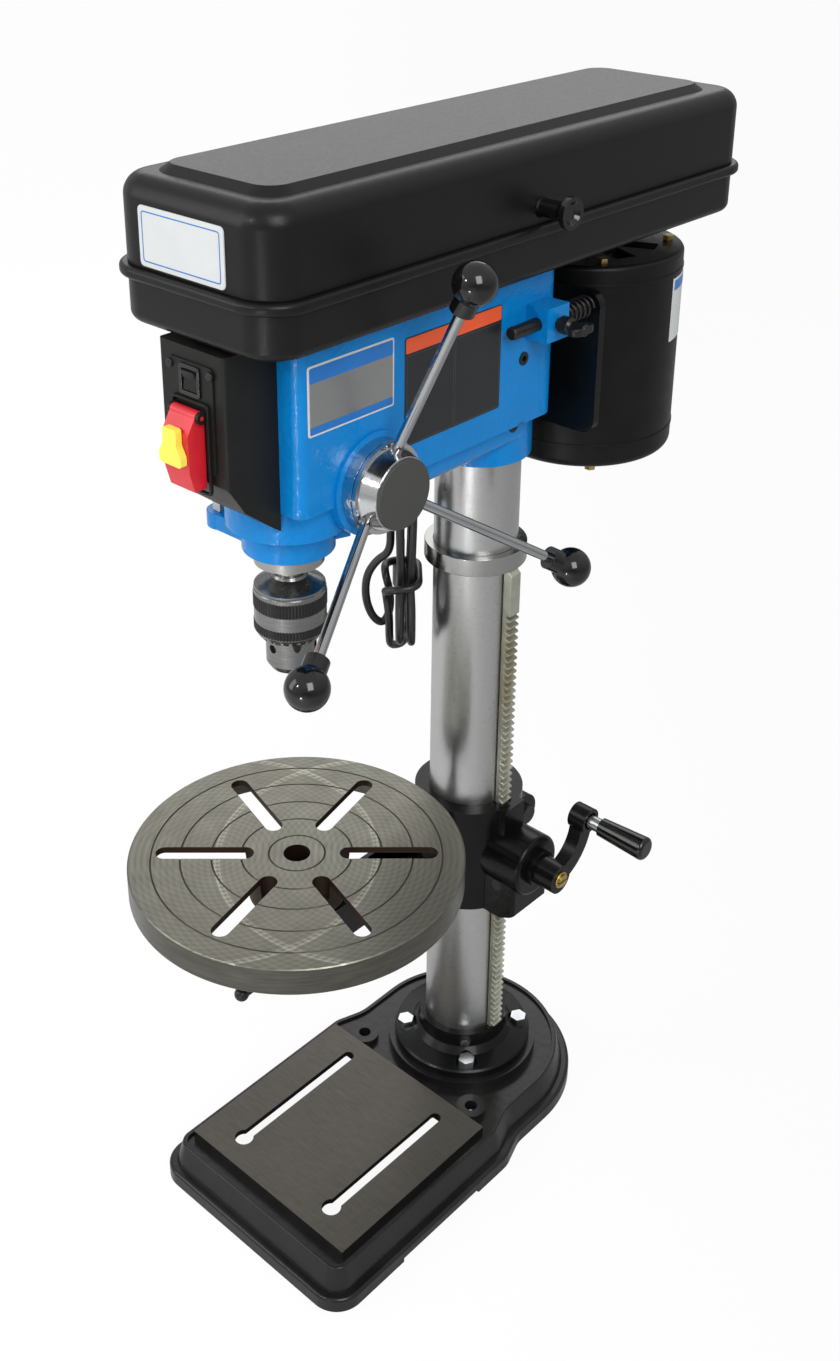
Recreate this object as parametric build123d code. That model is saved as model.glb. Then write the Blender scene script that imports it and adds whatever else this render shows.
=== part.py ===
from build123d import *
import math
import os

# Bench drill press. Millimetres, +Z up, front (spindle side) towards -Y, feed levers towards +X.
# Origin: column axis at the level of the surface that the base stands on.

# Main layout
throat = 171.5
column_radius = 34.0
column_wall = 4.0
spindle_y = -(throat + column_radius)
fit = 0.05
gap = 0.4

# Base casting
base_half_width = 110.0
base_front_y = -278.0
base_front_corner = 25.0
base_rear_radius = 101.0
base_waist_front_y = -66.0
base_waist_rear_y = -40.0
base_waist_round = 30.0
base_height = 34.0
base_draft = 16.0
base_skirt_height = 13.0
base_skirt_ledge = 6.5
base_skirt_round = 3.0
base_rim_round = 1.5
base_rim_width = 4.0
base_deck_drop = 2.5
base_wall = 12.0
base_top_thickness = 8.0
pad_side_inset = 20.0
pad_front_inset = 26.0
pad_rear_y = -77.0
pad_height = 6.0
pad_thickness = 5.0
slot_x = 53.0
slot_rear_inset = 21.0
slot_front_inset = 25.0
slot_width = 10.0
slot_key_radius = 8.0
bench_hole_x = 65.0
bench_hole_y = -63.5
bench_hole_radius = 5.5
bench_boss_radius = 13.0
bench_boss_height = 3.0
foot_arch_height = 4.0
foot_length = 78.0
flange_boss_radius = 68.0
flange_boss_height = 6.0

# Column flange
flange_radius = 62.5
flange_thickness = 8.0
flange_collar_wall = 6.0
flange_collar_height = 30.0
flange_bolt_circle = 52.5
flange_bolt_radius = 5.0
flange_bolt_head = 6.5
flange_spot_radius = 9.5
flange_bolt_head_height = 6.5
flange_bolt_angles = (45, 135, 225, 315)
flange_chamfer = 1.5
flange_waist = 6.0
flange_waist_rise = 3.0
flange_waist_top = 9.0

# Rack and its upper collar
gear_module = 2.0
pressure_angle = 20.0
backlash = 0.5
rack_width = 12.0
rack_thickness = 8.0
rack_top = 539.5
rack_plain_end = 42.0
rack_chamfer = 4.0
rack_collar_wall = 7.3
rack_collar_height = 15.0
rack_collar_screw = 3.0
rack_addendum = 0.7
rack_dedendum = 1.25
gear_dedendum = 1.15

# Table bracket with worm drive
bracket_wall = 12.5
bracket_bottom = 218.0
bracket_height = 100.0
worm_rise = 51.0
worm_radius = 4.6
worm_shaft_radius = 6.0
worm_barrel_radius = 27.5
worm_barrel_end = 77.0
worm_barrel_round = 4.0
lift_gear_teeth = 12
lift_gear_width = 13.0
lift_pin_radius = 5.0
gear_block_half_width = 24.0
gear_block_end_inset = 6.0
gear_block_slope = 14.0
gear_block_slope_rise = 7.0
gear_block_rise = 8.0
rack_guide_half_width = 13.0
rack_guide_wall = 8.6
tilt_rise = 62.0
tilt_face_y = -66.0
tilt_boss_radius = 27.0
tilt_bolt_radius = 6.0
tilt_bolt_reach = 12.0
tilt_bolt_room = 20.0
clamp_ear_offset = 17.0
clamp_ear_rise = 52.0
clamp_ear_radius = 17.0
clamp_ear_width = 18.0
clamp_split = 8.0
clamp_bolt_radius = 5.0
clamp_lever_length = 70.0
clamp_lever_radius = 4.5
clamp_lever_tip = 8.5
clamp_hub_radius = 8.5
clamp_hub_length = 24.0
clamp_head_height = 6.0

# Table crank
crank_hub_radius = 13.0
crank_shoulder_radius = 16.0
crank_shoulder_width = 5.0
crank_hub_length = 25.0
crank_arm_radius = 54.5
crank_angle = 49.0
crank_arm_thickness = 14.0
crank_arm_width = 15.0
crank_bow = 11.0
crank_eye_radius = 11.0
crank_eye_proud = 2.0
crank_collar_length = 11.5
crank_grip_neck = 8.0
crank_grip_radius = 10.2
crank_grip_length = 45.0
crank_grip_round = 3.5
crank_pin_radius = 4.0
crank_pin_cover = 4.0

# Table
table_radius = 129.5
table_rise = 78.5
table_rim_height = 23.0
table_plate = 5.5
table_rim_width = 10.0
table_hub_radius = 38.0
table_hub_drop = 34.5
table_hole_radius = 10.3
table_stem_radius = 15.0
table_stem_length = 34.0
table_hub_flare = 3.0
table_rim_draft = 2.0
table_edge_chamfer = 1.0
table_groove_radii = (21.6, 42.8, 65.5, 89.4, 111.9)
table_groove_depth = 0.6
table_slot_count = 6
table_slot_inner = 33.0
table_slot_outer = 108.5
table_slot_width = 14.0
table_slot_angle = 43.3
arm_socket_radius = 25.0
arm_half_width = 16.0
arm_drop = 18.0
arm_disc = 16.0
arm_split = 5.0
arm_window_half_width = 12.0
arm_window_length = 32.0
arm_window_drop = 12.0
arm_window_rise = 20.0
arm_lug_overlap = 4.0
arm_lug_x = 12.0
arm_lug_length = 22.0
tilt_nut_across = 18.0
tilt_nut_height = 9.0
table_lever_length = 52.0
table_lever_radius = 4.0
table_lever_tip = 5.5
table_lever_hub = 8.0
table_lever_end = 34.0
table_lever_screw = 20.0

# Head casting
head_half_width = 50.0
head_rear_y = 30.0
head_front_reach = 35.5
head_bottom = 670.0
head_height = 123.0
belly_side_inset = 7.0
belly_drop = 22.0
head_corner = 14.0
head_front_corner = 8.0
nose_radius = 44.0
nose_drop = 25.0
socket_wall = 7.3
socket_drop = 36.0
column_head_room = 8.0
cavity_side_wall = 14.0
cavity_front_offset = 65.5
head_cavity_rear_y = -52.0
cavity_floor_rise = 20.0

# Feed
feed_offset = 33.0
feed_rise = 6.0
pinion_teeth = 14
feed_boss_radius = 33.0
feed_boss_lip_radius = 37.5
feed_boss_lip = 2.0
feed_boss_length = 11.0
feed_shaft_radius = 10.0
feed_hub_radius = 26.0
feed_hub_root_radius = 30.5
feed_hub_ring_radius = 32.5
feed_hub_ring_width = 3.0
feed_hub_length = 16.0
feed_hub_edge = 0.6
hub_cap_radius = 25.2
hub_cap_thickness = 2.5
rod_count = 3
rod_radius = 3.8
rod_root_offset = 7.0
rod_depth = 6.5
rod_angle = 86.0
knob_radius = 14.6
knob_offset = 65.0
knob_reach = 154.5
knob_neck_radius = 8.5
knob_neck_length = 9.0
return_case_radius = 33.0
return_case_depth = 20.0
return_case_wall = 3.0
return_spring_width = 12.0
return_spring_groove = 10.0
return_spring_gap = 2.5
return_spring_rings = (25.0, 21.0, 17.0)

# Quill, spindle and depth stop
quill_radius = 25.0
quill_drop = 32.0
quill_head_room = 25.0
quill_travel = 80.0
quill_rack_width = 20.0
quill_rack_addendum = 0.8
spindle_radius = 10.0
spindle_rise = 75.0
spline_radius = 8.0
quill_bearing_radius = 15.5
quill_bearing_height = 12.0
depth_collar_wall = 8.0
depth_collar_gap = 4.0
depth_collar_height = 17.0
depth_ear_x = -50.0
depth_ear_offset = 15.5
depth_ear_radius = 12.0
depth_rod_radius = 4.0
depth_rod_head_room = 18.0
depth_lug_drop = 10.0
depth_lug_height = 12.0
depth_nut_radius = 6.5
depth_nut_height = 7.0
depth_nut_room = 9.5
depth_lug_radius = 9.0
depth_clamp_angle = 70.0
depth_clamp_length = 22.0
depth_clamp_width = 17.0
depth_clamp_split = 3.0

# Chuck
chuck_drop = 10.0
chuck_cone_height = 7.5
chuck_cap_height = 2.5
chuck_sleeve_radius = 26.0
chuck_sleeve_height = 38.0
chuck_core_radius = 21.0
chuck_nose_radius = 18.3
chuck_nose_height = 27.0
chuck_bore_radius = 6.0
chuck_tooth_count = 24
chuck_key_hole_radius = 3.2
chuck_key_hole_drop = 8.0
jaw_count = 3
jaw_radius = 3.6
jaw_tilt = 18.0
jaw_tip_offset = 8.4
jaw_depth = 2.0
jaw_length = 26.0
jaw_travel = 14.0
jaw_spacing = 0.3

# Belt pan and cover
pan_half_width = 75.0
pan_front_reach = 79.5
pan_rear_reach = 99.5
pan_corner = 27.0
pan_depth = 39.0
pan_wall = 2.0
pan_bottom_round = 7.0
rim_overhang = 5.5
rim_height = 8.0
cover_height = 57.0
cover_edge_round = 14.5
cover_panel_side_inset = 18.0
cover_panel_front_inset = 18.0
cover_panel_rear_inset = 26.5
cover_panel_height = 5.0
cover_panel_border = 7.0
cover_panel_corner = 22.0
cover_knob_y = -31.0
cover_knob_rise = 11.6
cover_knob_stem = 6.5
cover_knob_radius = 11.5
cover_knob_length = 27.0
cover_screw_radius = 3.0
hinge_y = (-190.0, 140.0)
hinge_length = 45.0
hinge_knuckle_radius = 4.0
hinge_pin_radius = 2.0
hinge_leaf_thickness = 2.5

# Column screws of the head
head_set_screw_y = -12.0
head_set_screw_rise = (-3.0, 52.5)
set_screw_radius = 5.0
set_screw_proud = 0.8

# Pulleys and belts
pulley_rise = 7.0
pulley_step = 17.0
pulley_groove = 9.0
pulley_groove_depth = 7.0
spindle_steps = (62.0, 52.0, 42.0, 32.0)
idler_steps = (33.0, 43.0, 53.0, 62.0)
motor_steps = (55.0, 46.0, 37.0, 28.0)
idler_y = -42.0
front_belt_index = 1
motor_belt_index = 2
belt_width = 8.0
belt_thickness = 6.0
idler_shaft_radius = 7.0
idler_pivot_x = -42.0
idler_pivot_y = 10.0
idler_arm_thickness = 5.0
drive_sleeve_radius = 13.0
sleeve_bearing_radius = 20.0
sleeve_bearing_height = 10.0

# Motor and its slide
motor_foot_gap = 1.0
motor_radius = 75.0
motor_height = 168.0
motor_drop = 21.0
motor_bottom_bell = 20.0
motor_top_bell = 15.0
motor_wall = 3.0
motor_slot_inner = 26.0
motor_slot_outer = 54.0
motor_slot_width = 18.0
motor_plate_edge = 12.0
motor_plate_rise = 44.0
motor_plate_height = 114.0
motor_plate_gap = 20.0
motor_plate_thickness = 7.0
motor_plate_round = 12.0
motor_foot_half_width = 42.0
motor_shaft_radius = 7.0
rotor_radius = 38.0
rotor_height = 90.0
motor_nut_inset = 12.0
motor_nut_width = 8.0
motor_nut_height = 4.0
motor_travel = 7.5
slide_rod_offset = 10.0
slide_rod_drop = 42.0
slide_rod_radius = 5.0
slide_rod_front_y = -41.0
slide_block_y = (-11.0, 14.0)
slide_block_half_height = 13.0
slide_block_width = 20.0
spring_radius = 7.5
spring_wire = 1.1
spring_turns = 6
wing_screw_y = 1.5
wing_screw_radius = 4.0
wing_reach = 26.0
wing_hub_radius = 6.5
wing_hub_span = (3.0, 12.0)
wing_length = 12.0
wing_half_width = 12.0
wing_half_height = 3.0
wing_round = 5.0

# Switch
switch_half_width = 31.0
switch_depth = 44.0
switch_drop = 3.0
switch_front_height = 89.0
switch_mid_step = 13.0
switch_mid_height = 109.0
switch_rear_height = 133.0
switch_plate_half_width = 21.0
switch_plate_drop = 9.0
switch_plate_height = 72.0
switch_plate_thickness = 1.2
switch_screw_x = 19.0
switch_screw_drop = 14.0
switch_screw_radius = 3.0
switch_screw_head = 1.6
switch_screw_shank = 1.5
switch_screw_length = 7.0
switch_wall = 2.0
rocker_half_width = 6.5
rocker_drop = 21.5
rocker_half_height = 7.0
paddle_half_width = 12.0
paddle_drop = 38.0
paddle_height = 54.0
paddle_depth = 14.0
paddle_barrel_radius = 4.0
paddle_pin_radius = 1.6
paddle_ear_thickness = 2.6
key_drop = 48.0
key_height = 25.0
key_depth = 4.0
key_half_width = 6.0
key_proud = 5.0
key_head_top = 6.6
key_head_foot = 10.5
key_shoulder = 14.0
key_foot_height = 7.0
key_corner = 2.2
key_stem_margin = 5.0

# Cord
cord_radius = 3.3
gland_x = -18.0
gland_y = -56.0
gland_radius = 7.0
gland_length = 24.0
gland_flange = 4.0
gland_lip = 1.5
hank_x = -30.9
hank_y = -49.5
hank_heading = 133.25
hank_drop = 70.0
hank_length = 116.0
hank_half_width = 22.5
hank_half_depth = 11.0
tail_drop = 16.0
tail_sag = 12.0
plug_x = -60.0
plug_y = -15.6
plug_drop = 1.0
plug_length = 34.0
plug_radius = 12.0
plug_neck = 3.0
plug_neck_length = 10.0
plug_body_start = 14.0
plug_edge = 2.0
blade_length = 18.0
blade_spacing = 12.6
blade_thickness = 1.6
blade_width = 6.4
earth_pin_radius = 2.4
earth_pin_offset = 7.0
earth_pin_extra = 3.0

# Worked-out places
bracket_top = bracket_bottom + bracket_height
worm_z = bracket_bottom + worm_rise
tilt_z = bracket_bottom + tilt_rise
clamp_ear_y = column_radius + clamp_ear_offset
clamp_ear_z = bracket_bottom + clamp_ear_rise
table_top = tilt_z + table_rise
table_hub_bottom = table_top - table_hub_drop
arm_bottom = tilt_z - arm_drop
bracket_radius = column_radius + bracket_wall
crank_hub_end = worm_barrel_end + crank_hub_length
flange_collar_radius = column_radius + flange_collar_wall
rack_collar_radius = column_radius + rack_collar_wall
pad_front_y = base_front_y + pad_front_inset
slot_front_y = pad_front_y + slot_front_inset
slot_rear_y = pad_rear_y - slot_rear_inset
pad_half_width = base_half_width - pad_side_inset
head_top = head_bottom + head_height
head_front_y = spindle_y - head_front_reach
head_belly_bottom = head_bottom - belly_drop
head_belly_half_width = head_half_width - belly_side_inset
nose_bottom = head_bottom - nose_drop
socket_radius = column_radius + socket_wall
socket_bottom = head_bottom - socket_drop
column_top = head_top - column_head_room
head_cavity_half_width = head_half_width - cavity_side_wall
head_cavity_front_y = spindle_y + cavity_front_offset
head_cavity_floor = head_bottom + cavity_floor_rise
feed_y = spindle_y + feed_offset
feed_z = head_bottom + feed_rise
feed_boss_end = head_half_width + feed_boss_length
feed_hub_end = feed_boss_end + feed_hub_length
rod_root_x = feed_boss_end + rod_root_offset
knob_x = feed_boss_end + knob_offset
quill_bottom = nose_bottom - quill_drop
quill_top = head_top - quill_head_room
spindle_top = head_top + spindle_rise
depth_collar_radius = quill_radius + depth_collar_wall
depth_collar_bottom = nose_bottom - depth_collar_gap - depth_collar_height
depth_ear_y = spindle_y - depth_ear_offset
depth_rod_top = head_top - depth_rod_head_room
depth_lug_bottom = head_bottom - depth_lug_drop
chuck_top = quill_bottom - chuck_drop
chuck_shoulder = chuck_top - chuck_cone_height
chuck_cap_bottom = chuck_shoulder - chuck_cap_height
chuck_sleeve_bottom = chuck_cap_bottom - chuck_sleeve_height
chuck_nose_bottom = chuck_sleeve_bottom - chuck_nose_height
chuck_key_hole_z = chuck_sleeve_bottom - chuck_key_hole_drop
slide_rod_x = head_half_width + slide_rod_offset
slide_block_end = head_half_width + slide_block_width
motor_plate_half_width = slide_rod_x + motor_plate_edge
motor_plate_y = head_rear_y + motor_plate_gap
motor_y = motor_plate_y + motor_plate_thickness + motor_foot_gap + motor_radius
motor_top = head_top - motor_drop
motor_bottom = motor_top - motor_height
motor_plate_bottom = motor_bottom + motor_plate_rise
motor_plate_z = (motor_plate_bottom, motor_plate_bottom + motor_plate_height)
motor_nut_circle = motor_radius - motor_nut_inset
slide_rod_z = head_top - slide_rod_drop
pulley_bottom = head_top + pulley_rise
pan_front_y = spindle_y - pan_front_reach
pan_rear_y = motor_y + pan_rear_reach
cover_panel_front_y = pan_front_y + cover_panel_front_inset
cover_panel_rear_y = pan_rear_y - cover_panel_rear_inset
cover_panel_half_width = pan_half_width - cover_panel_side_inset
switch_front_y = head_front_y - switch_depth
switch_mid_y = switch_front_y + switch_mid_step
switch_top = head_top - switch_drop
switch_front_bottom = switch_top - switch_front_height
switch_mid_bottom = switch_top - switch_mid_height
switch_rear_bottom = switch_top - switch_rear_height
switch_screw_z = switch_top - switch_screw_drop
rocker_z = switch_top - rocker_drop
switch_plate_top = switch_top - switch_plate_drop
switch_plate_z = (switch_plate_top - switch_plate_height, switch_plate_top)
paddle_top = switch_top - paddle_drop
paddle_z = (paddle_top - paddle_height, paddle_top)
key_top = switch_top - key_drop
key_z = (key_top - key_height, key_top)
head_set_screw_z = [head_bottom + rise for rise in head_set_screw_rise]
hank_top = head_bottom - hank_drop
hank_bottom = hank_top - hank_length
plug_bottom = hank_bottom - plug_drop
pad_top = base_height + pad_height
base_deck = base_height - base_deck_drop
base_wall_lean = (base_height - base_skirt_height) * math.tan(math.radians(base_draft))
flange_bottom = base_height + flange_boss_height
flange_top = flange_bottom + flange_thickness
flange_collar_top = flange_bottom + flange_collar_height
rack_back = column_radius + gap
rack_face = rack_back + rack_thickness
rack_pitch_x = rack_face - rack_addendum * gear_module
lift_gear_radius = gear_module * lift_gear_teeth / 2
lift_gear_x = rack_pitch_x + lift_gear_radius
lift_gear_z = worm_z - lift_gear_radius - gear_module - worm_radius - gap
pinion_radius = gear_module * pinion_teeth / 2
return_case_root = -(head_half_width + 3)
quill_rack_pitch_y = feed_y - pinion_radius
pan_top = head_top + pan_depth
cover_bottom = pan_top + gap
cover_top = cover_bottom + cover_height
cover_knob_z = cover_bottom + cover_knob_rise
rim_half_width = pan_half_width + rim_overhang
hinge_x = -(rim_half_width + hinge_knuckle_radius + 0.5)
table_bottom = table_top - table_rim_height
spindle_belt_radius = spindle_steps[front_belt_index] - pulley_groove_depth + gap
idler_front_radius = idler_steps[front_belt_index] - pulley_groove_depth + gap
idler_rear_radius = idler_steps[motor_belt_index] - pulley_groove_depth + gap
motor_belt_radius = motor_steps[motor_belt_index] - pulley_groove_depth + gap

LOW = (Align.CENTER, Align.CENTER, Align.MIN)


# Plain solids
def rod_z(radius, z0, z1, x=0.0, y=0.0):
    return Pos(x, y, z0) * Cylinder(radius, z1 - z0, align=LOW)


def rod_x(radius, x0, x1, y=0.0, z=0.0):
    return Pos(x0, y, z) * Rot(0, 90, 0) * Cylinder(radius, x1 - x0, align=LOW)


def rod_y(radius, y0, y1, x=0.0, z=0.0):
    return Pos(x, y0, z) * Rot(-90, 0, 0) * Cylinder(radius, y1 - y0, align=LOW)


def tube_z(outer, inner, z0, z1, x=0.0, y=0.0):
    return rod_z(outer, z0, z1, x, y) - rod_z(inner, z0 - 1, z1 + 1, x, y)


def block(x0, x1, y0, y1, z0, z1):
    return Pos((x0 + x1) / 2, (y0 + y1) / 2, (z0 + z1) / 2) * Box(x1 - x0, y1 - y0, z1 - z0)


def turned(points, x=0.0, y=0.0):
    profile = Plane.XZ * make_face(Polyline(*points, close=True))
    return Pos(x, y, 0) * revolve(profile, Axis.Z)


def hex_prism(across, z0, z1, x=0.0, y=0.0):
    return Pos(x, y, z0) * extrude(RegularPolygon(across / 2, 6, major_radius=False), z1 - z0)


def rounded_slab(half_width, y0, y1, corner, z0, z1):
    face = Pos(0, (y0 + y1) / 2) * RectangleRounded(2 * half_width, y1 - y0, corner)
    return Pos(0, 0, z0) * extrude(face, z1 - z0)


# Toothed outlines
def involute(angle):
    return math.tan(angle) - angle


def gear_face(teeth, addendum, dedendum):
    pitch = gear_module * teeth / 2
    base = pitch * math.cos(math.radians(pressure_angle))
    half_tooth = math.pi / (2 * teeth) - backlash / (2 * pitch)
    half_at_base = half_tooth + involute(math.radians(pressure_angle))
    tip = pitch + addendum
    flank = []
    for step in range(5):
        radius = base + (tip - base) * step / 4
        flank.append((radius, half_at_base - involute(math.acos(base / radius))))
    flank.insert(0, (pitch - dedendum, half_at_base))
    points = []
    for tooth in range(teeth):
        centre = 2 * math.pi * (tooth + 0.5) / teeth
        points += [(r * math.cos(centre - a), r * math.sin(centre - a)) for r, a in flank]
        points += [(r * math.cos(centre + a), r * math.sin(centre + a)) for r, a in reversed(flank)]
    return make_face(Polyline(*points, close=True))


def rack_face_outline(back, pitch_line, addendum, dedendum, z0, z1, tooth_z, plain=0.0):
    pitch = math.pi * gear_module
    slope = math.tan(math.radians(pressure_angle))
    half = pitch / 4 - backlash / 2
    tip_half = half - addendum * slope
    root_half = half + dedendum * slope
    root = pitch_line - dedendum
    tip = pitch_line + addendum
    first = math.ceil((z0 + root_half - tooth_z) / pitch)
    last = math.floor((z1 - plain - root_half - tooth_z) / pitch)
    points = [(back, z0), (root, z0)]
    for tooth in range(first, last + 1):
        z = tooth_z + tooth * pitch
        points += [(root, z - root_half), (tip, z - tip_half), (tip, z + tip_half), (root, z + root_half)]
    if plain:
        top_root = tooth_z + last * pitch + root_half
        points += [(root, top_root + gear_module), (tip, top_root + gear_module)]
        points += [(tip, z1 - rack_chamfer), (tip - rack_chamfer, z1), (back, z1)]
    else:
        points += [(root, z1), (back, z1)]
    return make_face(Polyline(*points, close=True))


# Base, flange and column
def base_outline():
    left = [
        (-base_rear_radius, 0),
        (-base_rear_radius, base_waist_rear_y),
        (-base_half_width, base_waist_front_y),
        (-base_half_width, base_front_y),
    ]
    right = [(-x, y) for x, y in reversed(left)]
    walls = Polyline(*left, *right)
    lobe = ThreePointArc((base_rear_radius, 0), (0, base_rear_radius), (-base_rear_radius, 0))
    face = make_face(walls.edges() + lobe.edges())
    waist = [v for v in face.vertices() if base_waist_front_y - 1 < v.Y < base_waist_rear_y + 1]
    face = fillet(waist, base_waist_round)
    front = [v for v in face.vertices() if v.Y < base_front_y + 1]
    return fillet(front, base_front_corner)


def make_base():
    outline = base_outline()
    skirt = extrude(outline, base_skirt_height, dir=(0, 0, 1))
    skirt = fillet(skirt.edges().group_by(Axis.Z)[-1], base_skirt_round)
    wall_foot = Pos(0, 0, base_skirt_height - 1) * offset(outline, -base_skirt_ledge)
    wall = extrude(wall_foot, base_height - base_skirt_height + 1, dir=(0, 0, 1), taper=base_draft)
    body = skirt + fillet(wall.edges().group_by(Axis.Z)[-1], base_rim_round)
    deck = offset(outline, -base_skirt_ledge - base_wall_lean - base_rim_width)
    body -= Pos(0, 0, base_deck) * extrude(deck, base_deck_drop + 1, dir=(0, 0, 1))
    body += block(-pad_half_width, pad_half_width, pad_front_y, pad_rear_y, base_deck - 1, pad_top)
    body += rod_z(flange_boss_radius, base_deck - 1, flange_bottom)
    for side in (-1, 1):
        boss_top = base_height + bench_boss_height
        body += rod_z(bench_boss_radius, base_deck - 1, boss_top, side * bench_hole_x, bench_hole_y)
    hollow = extrude(offset(outline, -base_wall), base_height - base_top_thickness, dir=(0, 0, 1))
    body -= hollow
    under_x = pad_half_width - base_wall
    under_y = pad_front_y + base_wall, pad_rear_y - base_wall
    body -= block(-under_x, under_x, *under_y, 0, pad_top - pad_thickness)
    arch_reach = 2 * base_half_width
    arch_front = base_front_y + foot_length
    arch_rear = base_waist_front_y - foot_length / 2
    body -= block(-arch_reach, arch_reach, arch_front, arch_rear, -1, foot_arch_height)
    for side in (-1, 1):
        middle = (slot_rear_y + slot_front_y) / 2
        length = slot_rear_y - slot_front_y
        slot = Pos(side * slot_x, middle) * Rot(0, 0, 90) * SlotCenterToCenter(length, slot_width)
        body -= extrude(slot, pad_top + 1, dir=(0, 0, 1))
        body -= rod_z(slot_key_radius, 0, pad_top + 1, side * slot_x, slot_front_y)
        body -= rod_z(bench_hole_radius, 0, pad_top + 1, side * bench_hole_x, bench_hole_y)
    for x, y in flange_bolt_places():
        body -= rod_z(flange_bolt_radius + fit, 0, flange_bottom + 1, x, y)
    return body


def flange_bolt_places():
    turns = [math.radians(angle) for angle in flange_bolt_angles]
    return [(flange_bolt_circle * math.cos(turn), flange_bolt_circle * math.sin(turn)) for turn in turns]


def make_flange():
    waist = flange_collar_radius + flange_waist
    body = turned(
        [
            (column_radius + fit, flange_bottom),
            (flange_radius, flange_bottom),
            (flange_radius, flange_top - flange_chamfer),
            (flange_radius - flange_chamfer, flange_top),
            (waist, flange_top + flange_waist_rise),
            (flange_collar_radius + 1, flange_top + flange_waist_top),
            (flange_collar_radius, flange_collar_top),
            (column_radius + fit, flange_collar_top),
        ]
    )
    for x, y in flange_bolt_places():
        body -= rod_z(flange_bolt_radius + fit, flange_bottom - 1, flange_collar_top, x, y)
        body -= rod_z(flange_spot_radius, flange_top, flange_collar_top, x, y)
    return body


def make_flange_bolts():
    bolts = []
    start = base_height - base_top_thickness + 1
    for x, y in flange_bolt_places():
        shank = rod_z(flange_bolt_radius, start, flange_top, x, y)
        head = hex_prism(2 * flange_bolt_head, flange_top, flange_top + flange_bolt_head_height, x, y)
        bolts.append(shank + head)
    return bolts


def make_column():
    return tube_z(column_radius, column_radius - column_wall, flange_bottom, column_top)


# Rack and collar
def make_rack():
    start = flange_collar_top + gap
    outline = rack_face_outline(
        rack_back, rack_pitch_x, rack_addendum * gear_module, rack_dedendum * gear_module,
        start, rack_top, lift_gear_z, rack_plain_end,
    )
    return Pos(0, rack_width / 2, 0) * extrude(Plane.XZ * outline, rack_width, dir=(0, -1, 0))


def make_rack_collar():
    start = rack_top + gap
    ring = tube_z(rack_collar_radius, column_radius + fit, start, start + rack_collar_height)
    screw_z = start + rack_collar_height / 2
    return ring - rod_y(rack_collar_screw, 0, rack_collar_radius + 1, 0, screw_z)


# Table bracket
def make_gear_block():
    end = worm_barrel_end - gear_block_end_inset
    side = Polyline(
        (0, bracket_bottom),
        (end - gear_block_slope, bracket_bottom),
        (end, bracket_bottom + gear_block_slope_rise),
        (end, worm_z + gear_block_rise),
        (0, worm_z + gear_block_rise),
        close=True,
    )
    body = extrude(Plane.XZ * make_face(side), gear_block_half_width, both=True)
    return fillet(body.edges().filter_by(Axis.Z).group_by(Axis.X)[-1], worm_barrel_round)


def make_bracket():
    body = rod_z(bracket_radius, bracket_bottom, bracket_top)
    barrel = rod_x(worm_barrel_radius, 0, worm_barrel_end, 0, worm_z)
    body += fillet(barrel.edges().group_by(Axis.X)[-1], worm_barrel_round)
    body += make_gear_block()
    guide_end = rack_face + rack_guide_wall
    body += block(0, guide_end, -rack_guide_half_width, rack_guide_half_width, worm_z, bracket_top)
    body += rod_y(tilt_boss_radius, tilt_face_y, 0, 0, tilt_z)
    ear = clamp_split / 2 + clamp_ear_width
    body += rod_x(clamp_ear_radius, -ear, ear, clamp_ear_y, clamp_ear_z)
    ear_z = clamp_ear_z - clamp_ear_radius, clamp_ear_z + clamp_ear_radius
    body += block(-ear, ear, column_radius / 2, clamp_ear_y, *ear_z)
    body -= rod_z(column_radius + 2 * fit, bracket_bottom - 1, bracket_top + 1)
    half = rack_width / 2 + gap
    body -= block(0, rack_face + gap, -half, half, bracket_bottom - 1, bracket_top + 1)
    split_end = clamp_ear_y + 2 * clamp_ear_radius
    body -= block(-clamp_split / 2, clamp_split / 2, 0, split_end, bracket_bottom - 1, bracket_top + 1)
    body -= rod_x(clamp_bolt_radius + fit, -ear - 1, ear + 1, clamp_ear_y, clamp_ear_z)
    body -= rod_x(worm_shaft_radius + fit, 0, worm_barrel_end + 1, 0, worm_z)
    cavity = lift_gear_radius + gear_module + gap
    half = lift_gear_width / 2 + gap
    body -= rod_y(cavity, -half, half, lift_gear_x, lift_gear_z)
    body -= block(0, lift_gear_x, -half, half, lift_gear_z - cavity, lift_gear_z + cavity)
    pin_end = worm_barrel_radius + 1
    body -= rod_y(lift_pin_radius + fit, -pin_end, pin_end, lift_gear_x, lift_gear_z)
    body -= rod_y(tilt_bolt_radius + fit, tilt_face_y - 1, 0, 0, tilt_z)
    return body


def make_lift_gear():
    face = gear_face(lift_gear_teeth, gear_module, gear_dedendum * gear_module)
    wheel = extrude(face, lift_gear_width / 2, both=True)
    wheel = Pos(lift_gear_x, 0, lift_gear_z) * Rot(90, 0, 0) * wheel
    reach = gear_block_half_width
    return wheel + rod_y(lift_pin_radius, -reach, reach, lift_gear_x, lift_gear_z)


# Table crank
def make_worm_shaft():
    start = rack_face + 2 * gap
    worm = rod_x(worm_radius, start, lift_gear_x + 8, 0, worm_z)
    journal = rod_x(worm_shaft_radius, lift_gear_x + 8, crank_hub_end - 1, 0, worm_z)
    return worm + journal


def crank_pin_place():
    angle = math.radians(crank_angle)
    return crank_arm_radius * math.cos(angle), worm_z + crank_arm_radius * math.sin(angle)


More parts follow.
